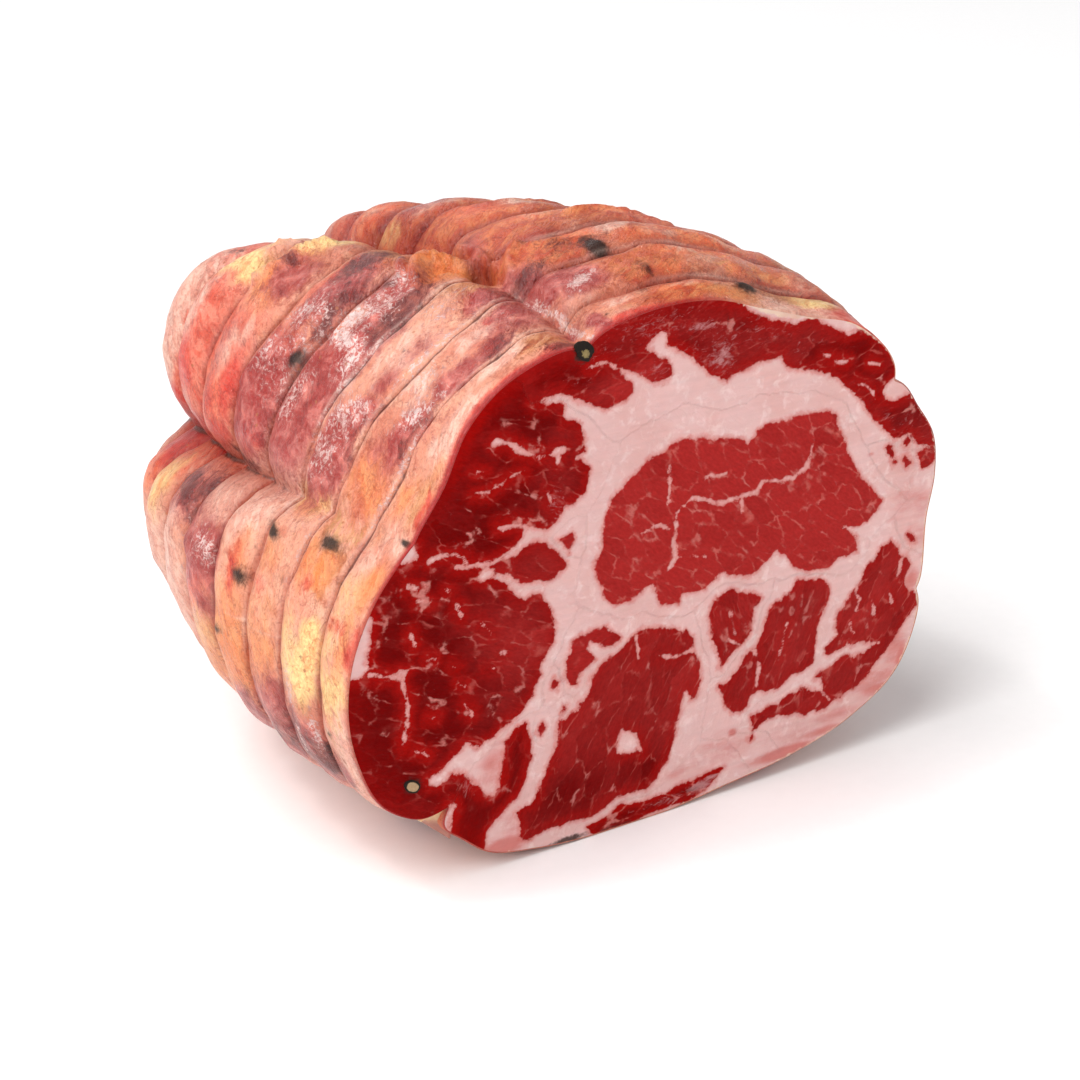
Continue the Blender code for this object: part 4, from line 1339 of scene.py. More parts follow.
EYE = Muscle((
    (-8, 68.4), (-5.3, 70.2), (-3, 71.8), (0, 72.5), (2.4, 73.5), (5, 73.8), (7, 73.3), (9.2, 73.6),
    (11.5, 72.7), (14.7, 72.3), (17.4, 71.6), (19.2, 70.5), (20.1, 71.1), (21.5, 72.3), (24.7, 73.3),
    (29.7, 73.4), (34.7, 73.4), (37.4, 73), (39.7, 71.6), (40.1, 69.3), (41.5, 67), (42.2, 64.3),
    (43.8, 61.6), (45.6, 58.9), (47.9, 56.6), (49.7, 54.3), (51.5, 52), (50.6, 50.2), (48.8, 48.6),
    (46.5, 47.8), (42.4, 48.7), (44.7, 46.4), (46, 45), (46, 43.2), (44.2, 42.5), (41.5, 42.8),
    (40.1, 41.4), (37.4, 41.2), (34.2, 41.4), (31, 43.7), (28.3, 46), (26.5, 47.3), (25.6, 46.9),
    (23.8, 45.5), (22, 44.1), (19.7, 43.9), (17, 44.8), (13.8, 46), (11.5, 45), (10.1, 43.5), (8.3, 43.5),
    (4.9, 43.7), (4.3, 42.1), (2.9, 42.5), (0, 43.2), (-1, 45.5), (-1.7, 47.3), (-3.5, 46.9), (-5.3, 46),
    (-8, 45.5), (-10, 45.2), (-12.5, 48), (-13.8, 52), (-14.9, 54), (-13.2, 57), (-13, 61), (-11.8, 65),
), 0.0, -38.0, 1.0)
LEFT = Muscle((
    (-27, 98), (-36, 93.5), (-42, 89.5), (-46, 83), (-49, 77), (-53, 71.5), (-54.5, 68.8), (-51.3, 66.6),
    (-50.3, 64.2), (-52.6, 63.3), (-57, 64), (-62, 59), (-61, 56.5), (-59.6, 55), (-60.3, 52),
    (-60.7, 49.8), (-60.7, 46.1), (-62.7, 44.8), (-68, 44.5), (-68, 36), (-66.5, 30), (-64.5, 24),
    (-61.5, 18), (-57, 13), (-50, 11.5), (-46.5, 13), (-45.2, 15.9), (-41, 17), (-40, 24.5), (-39.1, 25.5),
    (-36.4, 25.9), (-34.1, 27.5), (-30, 29.8), (-27.7, 32.5), (-26.4, 34.8), (-26.1, 38), (-25.2, 38.9),
    (-23.2, 41.1), (-22.7, 43.9), (-23.6, 47.1), (-24.5, 49.3), (-25.5, 52), (-27.5, 52), (-29, 50.9),
    (-31, 52), (-33.2, 55.2), (-35.5, 57), (-35, 60), (-33.4, 60.4), (-31.2, 62.2), (-29.8, 63.4),
    (-28.4, 64.8), (-26.6, 63.4), (-24.8, 63), (-23, 64.5), (-20.7, 66.8), (-18.9, 66.6), (-16.8, 68.2),
    (-15.9, 70.2), (-15.7, 73), (-16.8, 74.3), (-18.4, 75.2), (-16.8, 76.1), (-16.8, 78), (-17.5, 80.7),
    (-18.9, 82), (-20.7, 82.5), (-21.1, 84.5), (-22, 85.7), (-23.9, 85.9), (-26.1, 86.6), (-27.5, 87),
    (-24, 90),
), 0.85, -25.0, 0.55)
LOBE = Muscle((
    (-35.5, 57.6), (-33, 57.2), (-32, 56.1), (-30.2, 54.8), (-27.5, 54.3), (-24.8, 53.4), (-23, 53.6),
    (-21.1, 54.8), (-20.5, 56.1), (-21.6, 57.5), (-23.4, 59.1), (-25.2, 60.9), (-27.5, 61.6),
    (-29.8, 61.1), (-33, 59.8), (-35.5, 59.4),
), 0.55, -20.0, 0.4)
ISLAND = Muscle(((-22.3, 60.9), (-19.3, 61.6), (-19.1, 59.8), (-19.8, 58), (-20.7, 59.3)), 0.2, 0.0, 0.3)
TOP_STRIP = Muscle((
    (-32, 86.2), (-26.1, 86.8), (-24.3, 87.3), (-21.1, 87.5), (-19.8, 86.4), (-17.5, 85.5), (-14.8, 83.9),
    (-12, 82.7), (-8.9, 83.6), (-7, 84.8), (-6.8, 86.6), (-9.8, 89.6), (-9.2, 90.3), (-6.6, 88.7),
    (-5.3, 88), (-3, 86.1), (0.1, 85.5), (1.7, 86.6), (1, 88.4), (0.1, 89.8), (-2.1, 91.1), (-4.2, 92.3),
    (-3.5, 93.9), (-1.2, 94.8), (0.4, 94.5), (0.6, 92.3), (2.4, 90.7), (5.6, 89.1), (7.9, 87),
    (10.1, 85.2), (12, 83.9), (13.8, 83.4), (16.5, 84.3), (20.1, 85), (23.8, 85.5), (26, 85.5),
    (26.5, 83.9), (29.7, 82.3), (32.9, 81.8), (35.6, 80.9), (37.4, 79.8), (39.5, 78.4), (41, 77.4),
    (42.4, 76.1), (44.2, 74.3), (46.5, 71.1), (49.7, 68.2), (52, 65.7), (54.2, 64.1), (57, 64.1),
    (58.8, 63), (60.1, 61.6), (62.4, 61.1), (64.7, 58.4), (69, 58), (69, 64), (62, 74), (56, 78),
    (52.3, 81.3), (49.9, 84.5), (44.3, 87.9), (40.2, 90.8), (35.1, 91.9), (31.5, 91.7), (29.7, 91.2),
    (28.3, 90.7), (27.4, 92.3), (24.7, 93.5), (21.5, 93.8), (20.1, 95), (17.4, 96.8), (12.9, 98.2),
    (10, 99.5), (5, 102), (-5, 102), (-12, 101), (-16, 97.5), (-22, 99), (-30, 97), (-38, 93),
), 0.55, 10.0, 0.5)
LOWER_MIDDLE = Muscle((
    (-30, 4.3), (-30.5, 6.6), (-31.1, 10.2), (-30, 10.7), (-28.2, 10.5), (-26.8, 12), (-26.4, 13.9),
    (-25, 16.6), (-23.2, 19.3), (-22.3, 22), (-22.3, 24.8), (-21.8, 26.1), (-20.5, 25.7), (-18.2, 26.6),
    (-15.5, 30.2), (-14.8, 32.5), (-13.2, 34.3), (-10.9, 35.7), (-7.7, 36.6), (-5.3, 38.7), (-3.7, 39.1),
    (0, 38.7), (3.3, 37.3), (5.1, 36), (5.6, 36.4), (7.4, 35), (7.4, 33.2), (7.6, 32.2), (7.9, 31.9),
    (9, 29.6), (9.5, 25.5), (8.8, 21.9), (7.5, 22), (6.5, 24.6), (5.6, 23.7), (5.4, 20.5), (4.2, 18.2),
    (4, 16), (2.9, 12.8), (2, 10.5), (0, 7.8), (-2.1, 6.2), (-5.3, 6.6), (-8.6, 6.6), (-11.4, 5.7),
    (-15.5, 4.3), (-20, 4.5), (-24.5, 4.1), (-30, 3.6),
), 0.4, 60.0, 0.5)
SLIM = Muscle((
    (-44.1, 15.4), (-45, 12), (-45.5, 8.9), (-43, 3.9), (-38.4, 1.6), (-37.7, 5.2), (-37.3, 7.5),
    (-35.5, 9.8), (-32.7, 12), (-30.5, 13.9), (-29.1, 16.6), (-28, 20.2), (-28.4, 23.9), (-29.3, 27),
    (-30.5, 27.5), (-32.3, 25.9), (-33.9, 24.8), (-33.9, 22), (-34.1, 19.3), (-36, 18), (-40, 22),
    (-46, 20),
), 0.85, 70.0, 0.25)
HOOK = Muscle((
    (-20.5, 37.5), (-19.5, 38.4), (-19.3, 40.7), (-17.7, 41.4), (-15.5, 41.8), (-12.3, 42), (-10.5, 40.2),
    (-8.4, 38.9), (-8.6, 38), (-10.9, 38), (-13.6, 38.9), (-15, 40), (-15.8, 39.5), (-15.6, 37.5),
    (-14.4, 36.2), (-14.8, 35.9), (-17.3, 33.9), (-18, 31.6), (-19.5, 32), (-20.7, 34.3),
), 0.3, 0.0, 0.3)
SMALL_MIDDLE = Muscle((
    (12, 41), (13.8, 41.9), (16.5, 42.2), (19.2, 41), (22.9, 39.4), (23.3, 38.7), (21.7, 36.9),
    (21.5, 32.3), (20.1, 30.5), (18.3, 29.6), (16, 28.2), (14.7, 26.6), (13.8, 26.9), (13.5, 29.1),
    (12.4, 32.3), (11.3, 35), (11, 38.2),
), 0.4, -65.0, 0.4)
RIGHT_MIDDLE = Muscle((
    (13.8, 23), (15.1, 22.8), (17.4, 24.6), (19.2, 26.9), (21, 28.2), (22.4, 28.5), (23.3, 30), (24, 32.3),
    (25.1, 35.5), (27, 37.1), (30.1, 37.8), (32.2, 40.5), (34.7, 39.4), (37.9, 38.9), (39.7, 37.3),
    (39.9, 35.5), (38.8, 32.8), (37.4, 29.6), (36.7, 25), (36.5, 22.3), (33.8, 21), (31, 20.3),
    (28.3, 18.9), (25.1, 18.9), (23.3, 19.8), (22, 19.1), (21, 16.9), (19.2, 16), (17.4, 16.6),
    (15.6, 18.2), (14.7, 20.5),
), 0.4, 65.0, 0.45)
RIGHT = Muscle((
    (39.7, 24.1), (42, 26), (42.2, 28.2), (42.4, 31), (44.2, 33), (46.5, 36), (48.8, 38.7), (51.5, 40),
    (52, 42.3), (54.7, 42.8), (56.5, 42.1), (57, 40), (59.2, 39.1), (59.7, 36.9), (58.8, 34.1),
    (59.2, 31.9), (60.1, 31), (62, 30), (63.5, 28.2), (61, 26.9), (59.2, 24.6), (57, 22.3), (54.7, 19.6),
    (52, 17.3), (50.1, 15.5), (47.4, 13.7), (44.2, 12.3), (42, 12.5), (40.1, 11.4), (37.4, 11.4),
    (35.6, 10.7), (33.8, 11.9), (31, 12.3), (28.3, 12.8), (25.6, 12.8), (23.8, 12.3), (22.4, 11.2),
    (22, 12.8), (21.7, 14.8), (24.7, 15), (28.3, 15.7), (31.5, 16.6), (34.7, 17.1), (37, 16.2), (38.8, 15),
    (39, 18.2), (37.4, 18.7), (37.9, 19.8), (40.1, 19.6), (42.4, 21), (45.1, 21.4), (46.5, 20.4),
    (48.3, 21), (51, 21.4), (52.9, 21.9), (51, 22.2), (49.2, 22.8), (47.9, 23.2), (46, 22.8), (44.9, 24.1),
    (42.9, 22.8), (40.4, 22.3),
), 0.45, 55.0, 0.6)
BOTTOM_STRIP = Muscle((
    (-16, 2.6), (-11, 3.6), (-8, 4.9), (-4, 3.9), (2, 4), (6, 5), (12, 5.4), (16.4, 5.5), (15, 4.6),
    (13.5, 3), (10, 1.2), (4, 0.9), (-3, 0.3), (-9, -1), (-14, -1),
), 0.95, 5.0, 1.3)
SMALL_RED = (
    Muscle(((-21.7, 27.4), (-20.9, 28.4), (-20.3, 27.6), (-21, 27)), 0.5, 0.0, 0.0),
    Muscle(((-26.9, 24.9), (-25.6, 26.1), (-24.8, 25.2), (-25.6, 23.9)), 0.35, 0.0, 0.0),
    Muscle(((-23.9, 32.6), (-23, 34.4), (-22, 33.6), (-22.6, 31.8)), 0.35, 0.0, 0.0),
    Muscle(((56, 62.3), (57.1, 63.8), (58.3, 62.6), (57.2, 61.4)), 0.5, 0.0, 0.2),
    Muscle(((56.1, 59.3), (57.4, 60.2), (58.7, 58.2), (57.3, 57.6)), 0.4, 0.0, 0.2),
    Muscle(((51.8, 63), (52.8, 63.2), (55.2, 59), (54.2, 58.6)), 0.4, 0.0, 0.2),
    Muscle(((60, 59.5), (62.5, 60.6), (66, 59), (64.4, 57), (61.4, 56.7)), 0.3, 0.0, 0.5),
    Muscle(((58.2, 43.9), (59.4, 43.9), (61.2, 41.3), (60, 41)), 0.4, 0.0, 0.2),
    Muscle(((21.5, 9.9), (22.4, 10.4), (22.9, 9.6), (22, 9.2)), 0.3, 0.0, 0.0),
)
MUSCLES = (
    EYE, LEFT, LOBE, ISLAND, TOP_STRIP, LOWER_MIDDLE, SLIM, HOOK, SMALL_MIDDLE, RIGHT_MIDDLE, RIGHT,
    BOTTOM_STRIP, *SMALL_RED,
)
# Fat inside the outlines above.
FAT_SPOTS = (
    ((15, 97.8), (19, 95.2), (22, 93.2), (25.5, 91.9), (28.4, 91.9), (31, 93), (24, 98), (18, 99.5)),
    ((33, 92.2), (35.5, 89.8), (38.5, 87.6), (41.2, 86.8), (44.5, 87.4), (42, 92)),
    ((-49.5, 22), (-47.3, 22.7), (-44.5, 24.3), (-41.8, 26.6), (-40.5, 26.1), (-38.2, 25), (-36.4, 25.2),
     (-34.1, 25.7), (-30.5, 28.4), (-33.9, 24.8), (-34.1, 19.3), (-35, 16.1), (-36.4, 15), (-38.2, 15.7),
     (-39.5, 17.5), (-42.3, 21.1), (-45, 21.6), (-47.3, 20.2), (-49.3, 20.7)),
    ((-8, 20), (-7.3, 19.8), (-5.3, 18.7), (-4.6, 17.3), (-3.5, 14.1), (-5, 15.5), (-6.4, 14.8), (-9.1, 15.7),
     (-9.1, 18.4)),
    ((58, 78), (54.4, 77.6), (52.9, 76.6), (50.6, 74.3), (51, 72.5), (53.3, 71.4), (55.6, 72.3), (58, 73)),
    ((-38.9, 57.6), (-37, 59.4), (-35.4, 58.6), (-36, 57), (-37.8, 56.9)),
    ((-55, 44.1), (-53, 44), (-54, 41.6)),
)
# Seams of fat between the muscles and inside them: half width, then the line.
SEAMS = (
    (0.45, ((1.7, 49.3), (3.1, 51.6), (2.9, 54.8), (3.5, 58), (3.5, 60.2), (5.6, 62.3))),
    (0.5, ((5.6, 62.3), (7.4, 62), (10.1, 61.1), (13.8, 60), (17.4, 60), (21.1, 60.5), (22.4, 62),
           (26.5, 61.6), (29.7, 61.1), (32.4, 62.5), (33.8, 64.3))),
    (0.3, ((3.3, 51.8), (7, 51.1), (10.1, 50.2))), (0.18, ((1.5, 69.3), (1.7, 65.7), (1.5, 62.5))),
    (0.25, ((-4.4, 58), (-2.1, 58.9), (0.1, 58.4), (2.4, 57))), (0.15, ((9.7, 65.7), (14.2, 65.7))),
    (0.25, ((17.6, 60.5), (18.2, 57.5))), (0.2, ((33.8, 64.3), (34.2, 67))),
    (0.55, ((-34.8, 81.4), (-32.5, 80.7), (-30.7, 79.3), (-28.9, 78), (-26.6, 77), (-24.3, 76.8),
            (-21.6, 77.3))),
    (0.35, ((-22.3, 76.9), (-22.5, 75.2))),
    (0.2, ((-39.3, 73), (-37, 72.5), (-34.3, 73.9), (-31.1, 74.8), (-29, 75))),
    (0.45, ((-34.3, 66.1), (-31.6, 65.7), (-28.9, 65.2), (-29.2, 63.6))),
    (0.3, ((-48.4, 63), (-45.7, 63.2), (-43.4, 63), (-41.6, 62), (-40.7, 60.9))),
    (0.45, ((-43, 60.5), (-40.2, 60), (-38, 59.6), (-35.7, 59.6), (-33.4, 60.2))),
    (0.2, ((-24.3, 70.2), (-23.6, 67.5), (-22, 65.7))),
    (0.35, ((-60.5, 44.8), (-57.3, 43.9), (-54.3, 42.7))),
    (0.5, ((-54.3, 42.7), (-54.1, 41.1), (-53, 38.4), (-53.2, 36.1))),
    (0.35, ((-53.2, 36.1), (-53.6, 33), (-53.9, 29.8))), (0.22, ((-52.5, 59.3), (-50.7, 58.4))),
    (0.22, ((-50.7, 56.1), (-48.4, 55.2))), (0.15, ((-45.2, 56.8), (-44.4, 56.2))),
    (0.25, ((-43, 53.4), (-42, 51.1))), (0.28, ((-52.4, 50.4), (-51.5, 48.2))),
    (0.2, ((-49.4, 45.2), (-47.7, 44.9))), (0.2, ((-44.2, 42.6), (-43.2, 41.8))),
    (0.25, ((-38.2, 48.9), (-36.4, 46.1))), (0.2, ((-42.6, 38.6), (-41.2, 38))),
    (0.2, ((-49.2, 34), (-48, 33.7))), (0.16, ((-41.8, 34.8), (-40.2, 32))),
    (0.14, ((-51.8, 28.4), (-49.1, 26.8))), (0.15, ((-34.2, 42.5), (-33, 42.2))),
    (0.15, ((-37, 40), (-35.8, 39.6))), (0.16, ((-38.9, 77.2), (-37.4, 77))),
    (0.4, ((0, 32.8), (2.9, 31.9), (5.6, 32.1), (7.6, 32.2))),
    (0.3, ((-5.3, 38.2), (-4.9, 35), (-4.7, 33.5))), (0.2, ((15.6, 37.8), (17.4, 32.8))),
    (0.2, ((15.6, 32.3), (19.2, 30))), (0.4, ((22.2, 28.2), (23.3, 24.6), (23.1, 21))),
    (0.15, ((29.9, 31.9), (28.3, 26))), (0.3, ((38.8, 15), (40, 14), (41, 12.6))),
    (0.5, ((46.6, 35.2), (47.6, 32.8), (47, 30.8))), (0.4, ((50.6, 31.5), (51.6, 28.6))),
    (0.3, ((54.8, 32.6), (55.8, 29.4))), (0.35, ((57.6, 38.6), (56.8, 35.4))),
    (0.3, ((45.2, 28), (46.6, 25.4))), (0.4, ((43.2, 77.2), (45.8, 76.5), (47.2, 75.2), (48.8, 73.2))),
    (0.3, ((35.6, 84), (38.8, 82.2), (41.5, 81.6))), (0.25, ((46.8, 80.6), (49.4, 79.4))),
    (0.25, ((-9.6, 89.9), (-12.4, 91.2), (-16, 91.6))),
)
# Pinker fat, with soft edges: across, height, half width, half height and strength.
BLUSH = (
    (60, 50, 8, 6, 0.6), (57, 59, 5, 3, 0.5), (52, 14, 9, 4, 0.8), (57, 20, 4, 5, 0.8), (14, 9, 8, 4, 0.6),
    (34, 8, 12, 2.5, 0.45), (44, 9, 8, 2, 0.7), (-36, 21, 3.5, 4, 0.8), (-32, 7, 3, 4, 0.6),
    (-34, 3.5, 5, 2, 1.4), (62, 42, 3, 8, 0.5), (30, 4.5, 8, 1.2, 1.4), (17.6, 12.3, 1.1, 0.8, 1.2),
    (5, 7.5, 4, 1.5, 0.6), (48.5, 62, 0.9, 0.5, 0.8), (-62, 50, 1.2, 5, 0.4), (60.5, 34, 2, 3, 1.0),
    (54, 12, 5, 1.5, 1.2), (59, 17, 1.4, 4, 1.3), (40, 6.5, 6, 1.0, 1.0),
)
# Greyish white bloom on the meat.
BLOOM = (
    (12.6, 88, 2.6, 2.4, 0.9), (8, 94.3, 3, 1.0, 0.8), (-2, 88, 3, 2, 0.45), (22, 91, 6, 1.5, 0.35),
    (-18, 89, 3, 1, 0.4), (14, 92, 8, 2.5, 0.35), (-2, 96, 9, 2.5, 0.45), (24, 90, 8, 2.5, 0.3),
    (57, 67, 3, 4, 0.3), (-14, 93, 5, 2.5, 0.3), (6, 90, 6, 3, 0.35), (10, 3.2, 3, 1.0, 1.2),
    (13, 4.4, 1.6, 0.4, 1.4), (2, 2.4, 6, 0.8, 0.6), (52, 69, 2, 2, 0.3), (-41.5, 18.5, 1.6, 2.2, 0.5),
    (30, 86.5, 5, 2, 0.25), (-22.5, 68, 1.6, 3, 0.5),
)
# Where the meat is darker or lighter than the rest of its muscle: negative is lighter.
SHADE = (
    (-36, 70, 12, 9, 0.25), (-34, 45, 9, 8, -0.5), (-28, 42, 5, 7, -0.25), (-55, 36, 8, 12, 0.25),
    (-22, 73, 4, 8, -0.3), (6, 64, 5, 3, -0.1), (-15, 10, 12, 5, 0.35), (-2, 14, 5, 6, 0.15),
    (55, 68, 5, 4, 0.45), (46, 84, 5, 4, 0.4), (40, 82, 6, 3, 0.3), (-10, 92, 9, 4, 0.25),
    (20, 92, 9, 3, 0.1), (-40, 12, 6, 6, 0.35), (44, 47, 6, 5, -0.1), (58, 27, 3, 3, 0.2),
    (-4, 88, 5, 3, -0.4), (-12, 87, 5, 3, -0.45), (5, 91, 5, 3, 0.15), (8, 97, 12, 2, 0.3),
    (-45, 52, 12, 8, 0.15), (-24, 13, 5, 6, 0.3), (-37, 10, 4, 6, 0.3), (42, 82, 5, 3, 0.3),
    (50, 76, 4, 4, 0.4), (-18, 90, 5, 3, 0.4), (-28, 82, 4, 4, 0.25), (-24, 91, 4, 2, 0.3),
    (5, 91, 3, 2, 0.3), (5, 96, 6, 2, -0.3), (0, 10, 5, 4, 0.3), (46, 30, 6, 6, -0.25),
    (45, 44, 3, 3, -0.35), (0, 68, 3, 3, 0.2), (36, 66, 4, 3, 0.2), (32, 86, 5, 3, 0.15),
    (18, 22, 4, 4, 0.1), (-45, 36, 10, 10, 0.12),
)


@dataclass(frozen=True)
class CuredMeat:
    """Cured pork neck, cut with a slicer: moist, dense and smooth.

    The lean is a deep clear red, brighter where it borders on fat, and let light in a little, so its fibres
    and flecks look soft. The fat is pinkish white with faint slanted marks of the blade.
    """

    name: str = "cured pork neck, cut"
    light_lean: str = "#a62624"
    dark_lean: str = "#6c0000"
    bright_edge: str = "#a00a06"
    rim_red: str = "#9c0300"
    thread: str = "#bd5a52"
    fleck: str = "#c67c74"
    fat: str = "#dfb5b1"
    warm_fat: str = "#d6a099"
    white_fat: str = "#ecd0cc"
    pink: str = "#c96a62"
    bloom: str = "#c48c8c"
    casing_edge: str = "#e9cab4"
    pink_edge: str = "#c98074"
    dark_bits: str = "#3a2a26"
    # Width of a bundle of fibres.
    bundle: float = 3.3

    def build(self) -> bpy.types.Material:
        """Makes the material.

        Returns:
            The material, which reads the distances and tones stored on the face.
        """
        material, node, shader = new_material(self.name)
        place = node("TexCoord").outputs["Object"]
        fibre = node("Attribute", attribute_name="fibre").outputs["Vector"]
        lean, tone, flecks, glow, bloom, blush, rind, dirt = (
            node("Attribute", attribute_name=name).outputs["Fac"]
            for name in ("lean", "tone", "flecks", "glow", "bloom", "blush", "rind", "dirt")
        )
        # Noises: wander and bundles of fibres, fine fibres, speckles along the fibres, then on the face
        # itself a ragged grain of 1.3 mm, clouds of 3 and 9 mm and milky blotches of 2.4 mm.
        wander, bundles, fine_fibres, speckle, ragged, broken, clouds, milky = (
            node("TexNoise", {
                "Vector": lay, "Scale": scale, "Detail": detail, "Roughness": rough, "Distortion": bent,
            })
            for lay, scale, detail, rough, bent in (
                (fibre, 1.0 / 2.6, 3.0, 0.6, 0.0), (fibre, 1.0 / 1.4, 4.0, 0.62, 0.6),
                (fibre, 1.0 / 0.5, 3.0, 0.6, 0.0), (fibre, 1.0 / 0.9, 5.0, 0.72, 0.8),
                (place, per_mm(1.3), 5.0, 0.7, 0.0), (place, per_mm(2.8), 3.0, 0.5, 0.0),
                (place, per_mm(9.0), 3.0, 0.5, 0.0), (place, per_mm(2.4), 5.0, 0.65, 0.6),
            )
        )
        # The lean is made of bundles of fibres, about 3 mm across: they scallop its border, and fat runs
        # between them in a net of threads.
        bent = node("VectorMath", {0: wander.outputs["Color"], 1: (2.6, 2.6, 0.0), 2: fibre}, **TIMES_PLUS)
        cells = {"Vector": bent, "Scale": 1.0 / self.bundle, "Randomness": 0.9}
        net = node("TexVoronoi", cells, feature="DISTANCE_TO_EDGE")
        bundle = node("TexVoronoi", cells, feature="F1")
        moved = node("Math", {0: ragged, 1: 1.9, 2: -1.1}, **TIMES_PLUS)
        scallop = node("Math", {0: net, 1: 1.1, 2: moved}, **TIMES_PLUS)
        border = node("Math", {0: lean, 1: scallop}, **PLUS)
        is_lean = node("MapRange", {0: border, 1: -0.16, 2: 0.2}, **SMOOTH)
        # Lean: tone of the muscle and of each bundle, with a brighter border.
        own_tone = node("SeparateColor", {0: bundle.outputs["Color"]})
        mottled = node("Math", {0: own_tone, 1: 0.32, 2: -0.43}, **TIMES_PLUS)
        mottled = node("Math", {0: bundles, 1: 0.55, 2: mottled}, **TIMES_PLUS)
        depth = node("Math", {0: tone, 1: mottled}, **PLUS, use_clamp=True)
        near_fat = node("MapRange", {0: border, 1: 3.2, 2: 0.2, 4: 0.8}, **SMOOTH)
        near_fat = node("Math", {0: near_fat, 1: tone}, **TIMES)
        # Fat in the lean: faint broken threads between the bundles, and flecks where three bundles meet, most
        # of them in the dark muscles.
        kept = node("MapRange", {0: broken, 1: 0.44, 2: 0.64, 3: 0.06}, **SMOOTH)
        thread = node("MapRange", {0: net, 1: 0.075, 2: 0.0, 4: 0.85}, **SMOOTH)
        fleck = node("Math", {0: ragged, 1: -0.35, 2: net}, **TIMES_PLUS)
        fleck = node("MapRange", {0: fleck, 1: -0.03, 2: -0.16, 4: 0.85}, **SMOOTH)
        corner = node("MapRange", {0: bundle, 1: 0.64, 2: 0.82}, **SMOOTH)
        chosen = node("MapRange", {0: broken, 1: 0.5, 2: 0.6}, **SMOOTH)
        plenty = node("Math", {0: flecks, 1: 2.0}, **TIMES, use_clamp=True)
        dark_share = node("Math", {0: tone, 1: 0.7, 2: 0.35}, **TIMES_PLUS, use_clamp=True)
        for share in (kept, flecks):
            thread = node("Math", {0: thread, 1: share}, **TIMES)
        for share in (corner, chosen, plenty, dark_share):
            fleck = node("Math", {0: fleck, 1: share}, **TIMES)
        red = linear(self.light_lean)
        for mask, code in (
            (depth, self.dark_lean), (near_fat, self.bright_edge), (thread, self.thread), (fleck, self.fleck),
            (glow, self.rim_red),
        ):
            red = node("Mix", {SHARE: mask, UNDER: red, OVER: linear(code)}, **BLEND)
        fibre_light = node("MapRange", {0: fine_fibres, 1: 0.3, 2: 0.7, 3: 0.84, 4: 1.16})
        red = node("Mix", {SHARE: 1.0, UNDER: red, OVER: fibre_light}, **DARKEN)
        bloomed = node("Math", {0: speckle, 1: 2.6, 2: -1.4}, **TIMES_PLUS)
        bloomed = node("Math", {0: bloomed, 1: bloom}, **PLUS)
        bloomed = node("MapRange", {0: bloomed, 1: 0.25, 2: 1.1, 4: 0.75}, **SMOOTH)
        red = node("Mix", {SHARE: bloomed, UNDER: red, OVER: linear(self.bloom)}, **BLEND)
        # Fat: pinkish white, warmer in clouds of 9 mm, milky in blotches, and pink beside the lean and where
        # blood has run.
        cloud = node("MapRange", {0: clouds, 1: 0.4, 2: 0.7, 4: 0.45}, **SMOOTH)
        milk = node("MapRange", {0: milky, 1: 0.5, 2: 0.7, 4: 0.6}, **SMOOTH)
        halo = node("MapRange", {0: border, 1: -1.1, 2: 0.1, 4: 0.7}, **SMOOTH)
        streaks = node("Mapping", {"Vector": place, "Rotation": (0.0, 0.45, 0.0), "Scale": (0.35, 1.0, 1.0)})
        blood = node("TexNoise", {"Vector": streaks, "Scale": per_mm(2.0), "Detail": 4.0, "Roughness": 0.6})
        blushed = node("Math", {0: blood, 1: 0.5}, operation="SUBTRACT")
        blushed = node("Math", {0: blushed, 1: blush}, **PLUS)
        blushed = node("MapRange", {0: blushed, 1: 0.2, 2: 1.1, 4: 0.8}, **SMOOTH)
        white = linear(self.fat)
        for mask, code in (
            (cloud, self.warm_fat), (milk, self.white_fat), (halo, self.pink), (blushed, self.pink),
        ):
            white = node("Mix", {SHARE: mask, UNDER: white, OVER: linear(code)}, **BLEND)
        colour = node("Mix", {SHARE: is_lean, UNDER: white, OVER: red}, **BLEND)
        # The cut edge of the casing round the rim, and dark bits that the blade dragged along.
        edge = node("Math", {0: moved, 1: 1.1, 2: rind}, **TIMES_PLUS)
        edge = node("MapRange", {0: edge, 1: -0.1, 2: 0.25, 4: 0.9}, **SMOOTH)
        edge_colour = node(
            "Mix", {SHARE: cloud, UNDER: linear(self.casing_edge), OVER: linear(self.pink_edge)}, **BLEND,
        )
        bits = node("Math", {0: speckle, 1: dirt}, **TIMES)
        bits = node("MapRange", {0: bits, 1: 0.25, 2: 0.55, 4: 0.9}, **SMOOTH)
        for mask, over in ((edge, edge_colour), (bits, linear(self.dark_bits))):
            colour = node("Mix", {SHARE: mask, UNDER: colour, OVER: over}, **BLEND)
        # Faint slanted marks of the blade, in the brightness and the relief.
        blade = node("Mapping", {"Vector": place, "Rotation": (0.0, 0.35, 0.0), "Scale": (0.08, 1.0, 1.0)})
        marks = node("TexNoise", {"Vector": blade, "Scale": per_mm(0.8), "Detail": 2.0})
        light = node("MapRange", {0: marks, 1: 0.3, 2: 0.7, 3: 0.97, 4: 1.03})
        colour = node("VectorMath", {0: colour, "Scale": light}, operation="SCALE")
        gloss = node("MapRange", {0: is_lean, 3: 0.42, 4: 0.36})
        bump = node("Bump", {"Strength": 0.5, "Distance": 0.12 * MM, "Height": marks})
        bump = node("Bump", {"Strength": 0.6, "Distance": 0.25 * MM, "Height": bundles, "Normal": bump})
        plug(shader, {
            "Base Color": colour, "Roughness": gloss, "Normal": bump, "IOR": 1.42, "Specular IOR Level": 0.04,
            "Subsurface Weight": 0.3, "Subsurface Radius": (1.0, 0.35, 0.25), "Subsurface Scale": 0.7 * MM,
        })
        return material


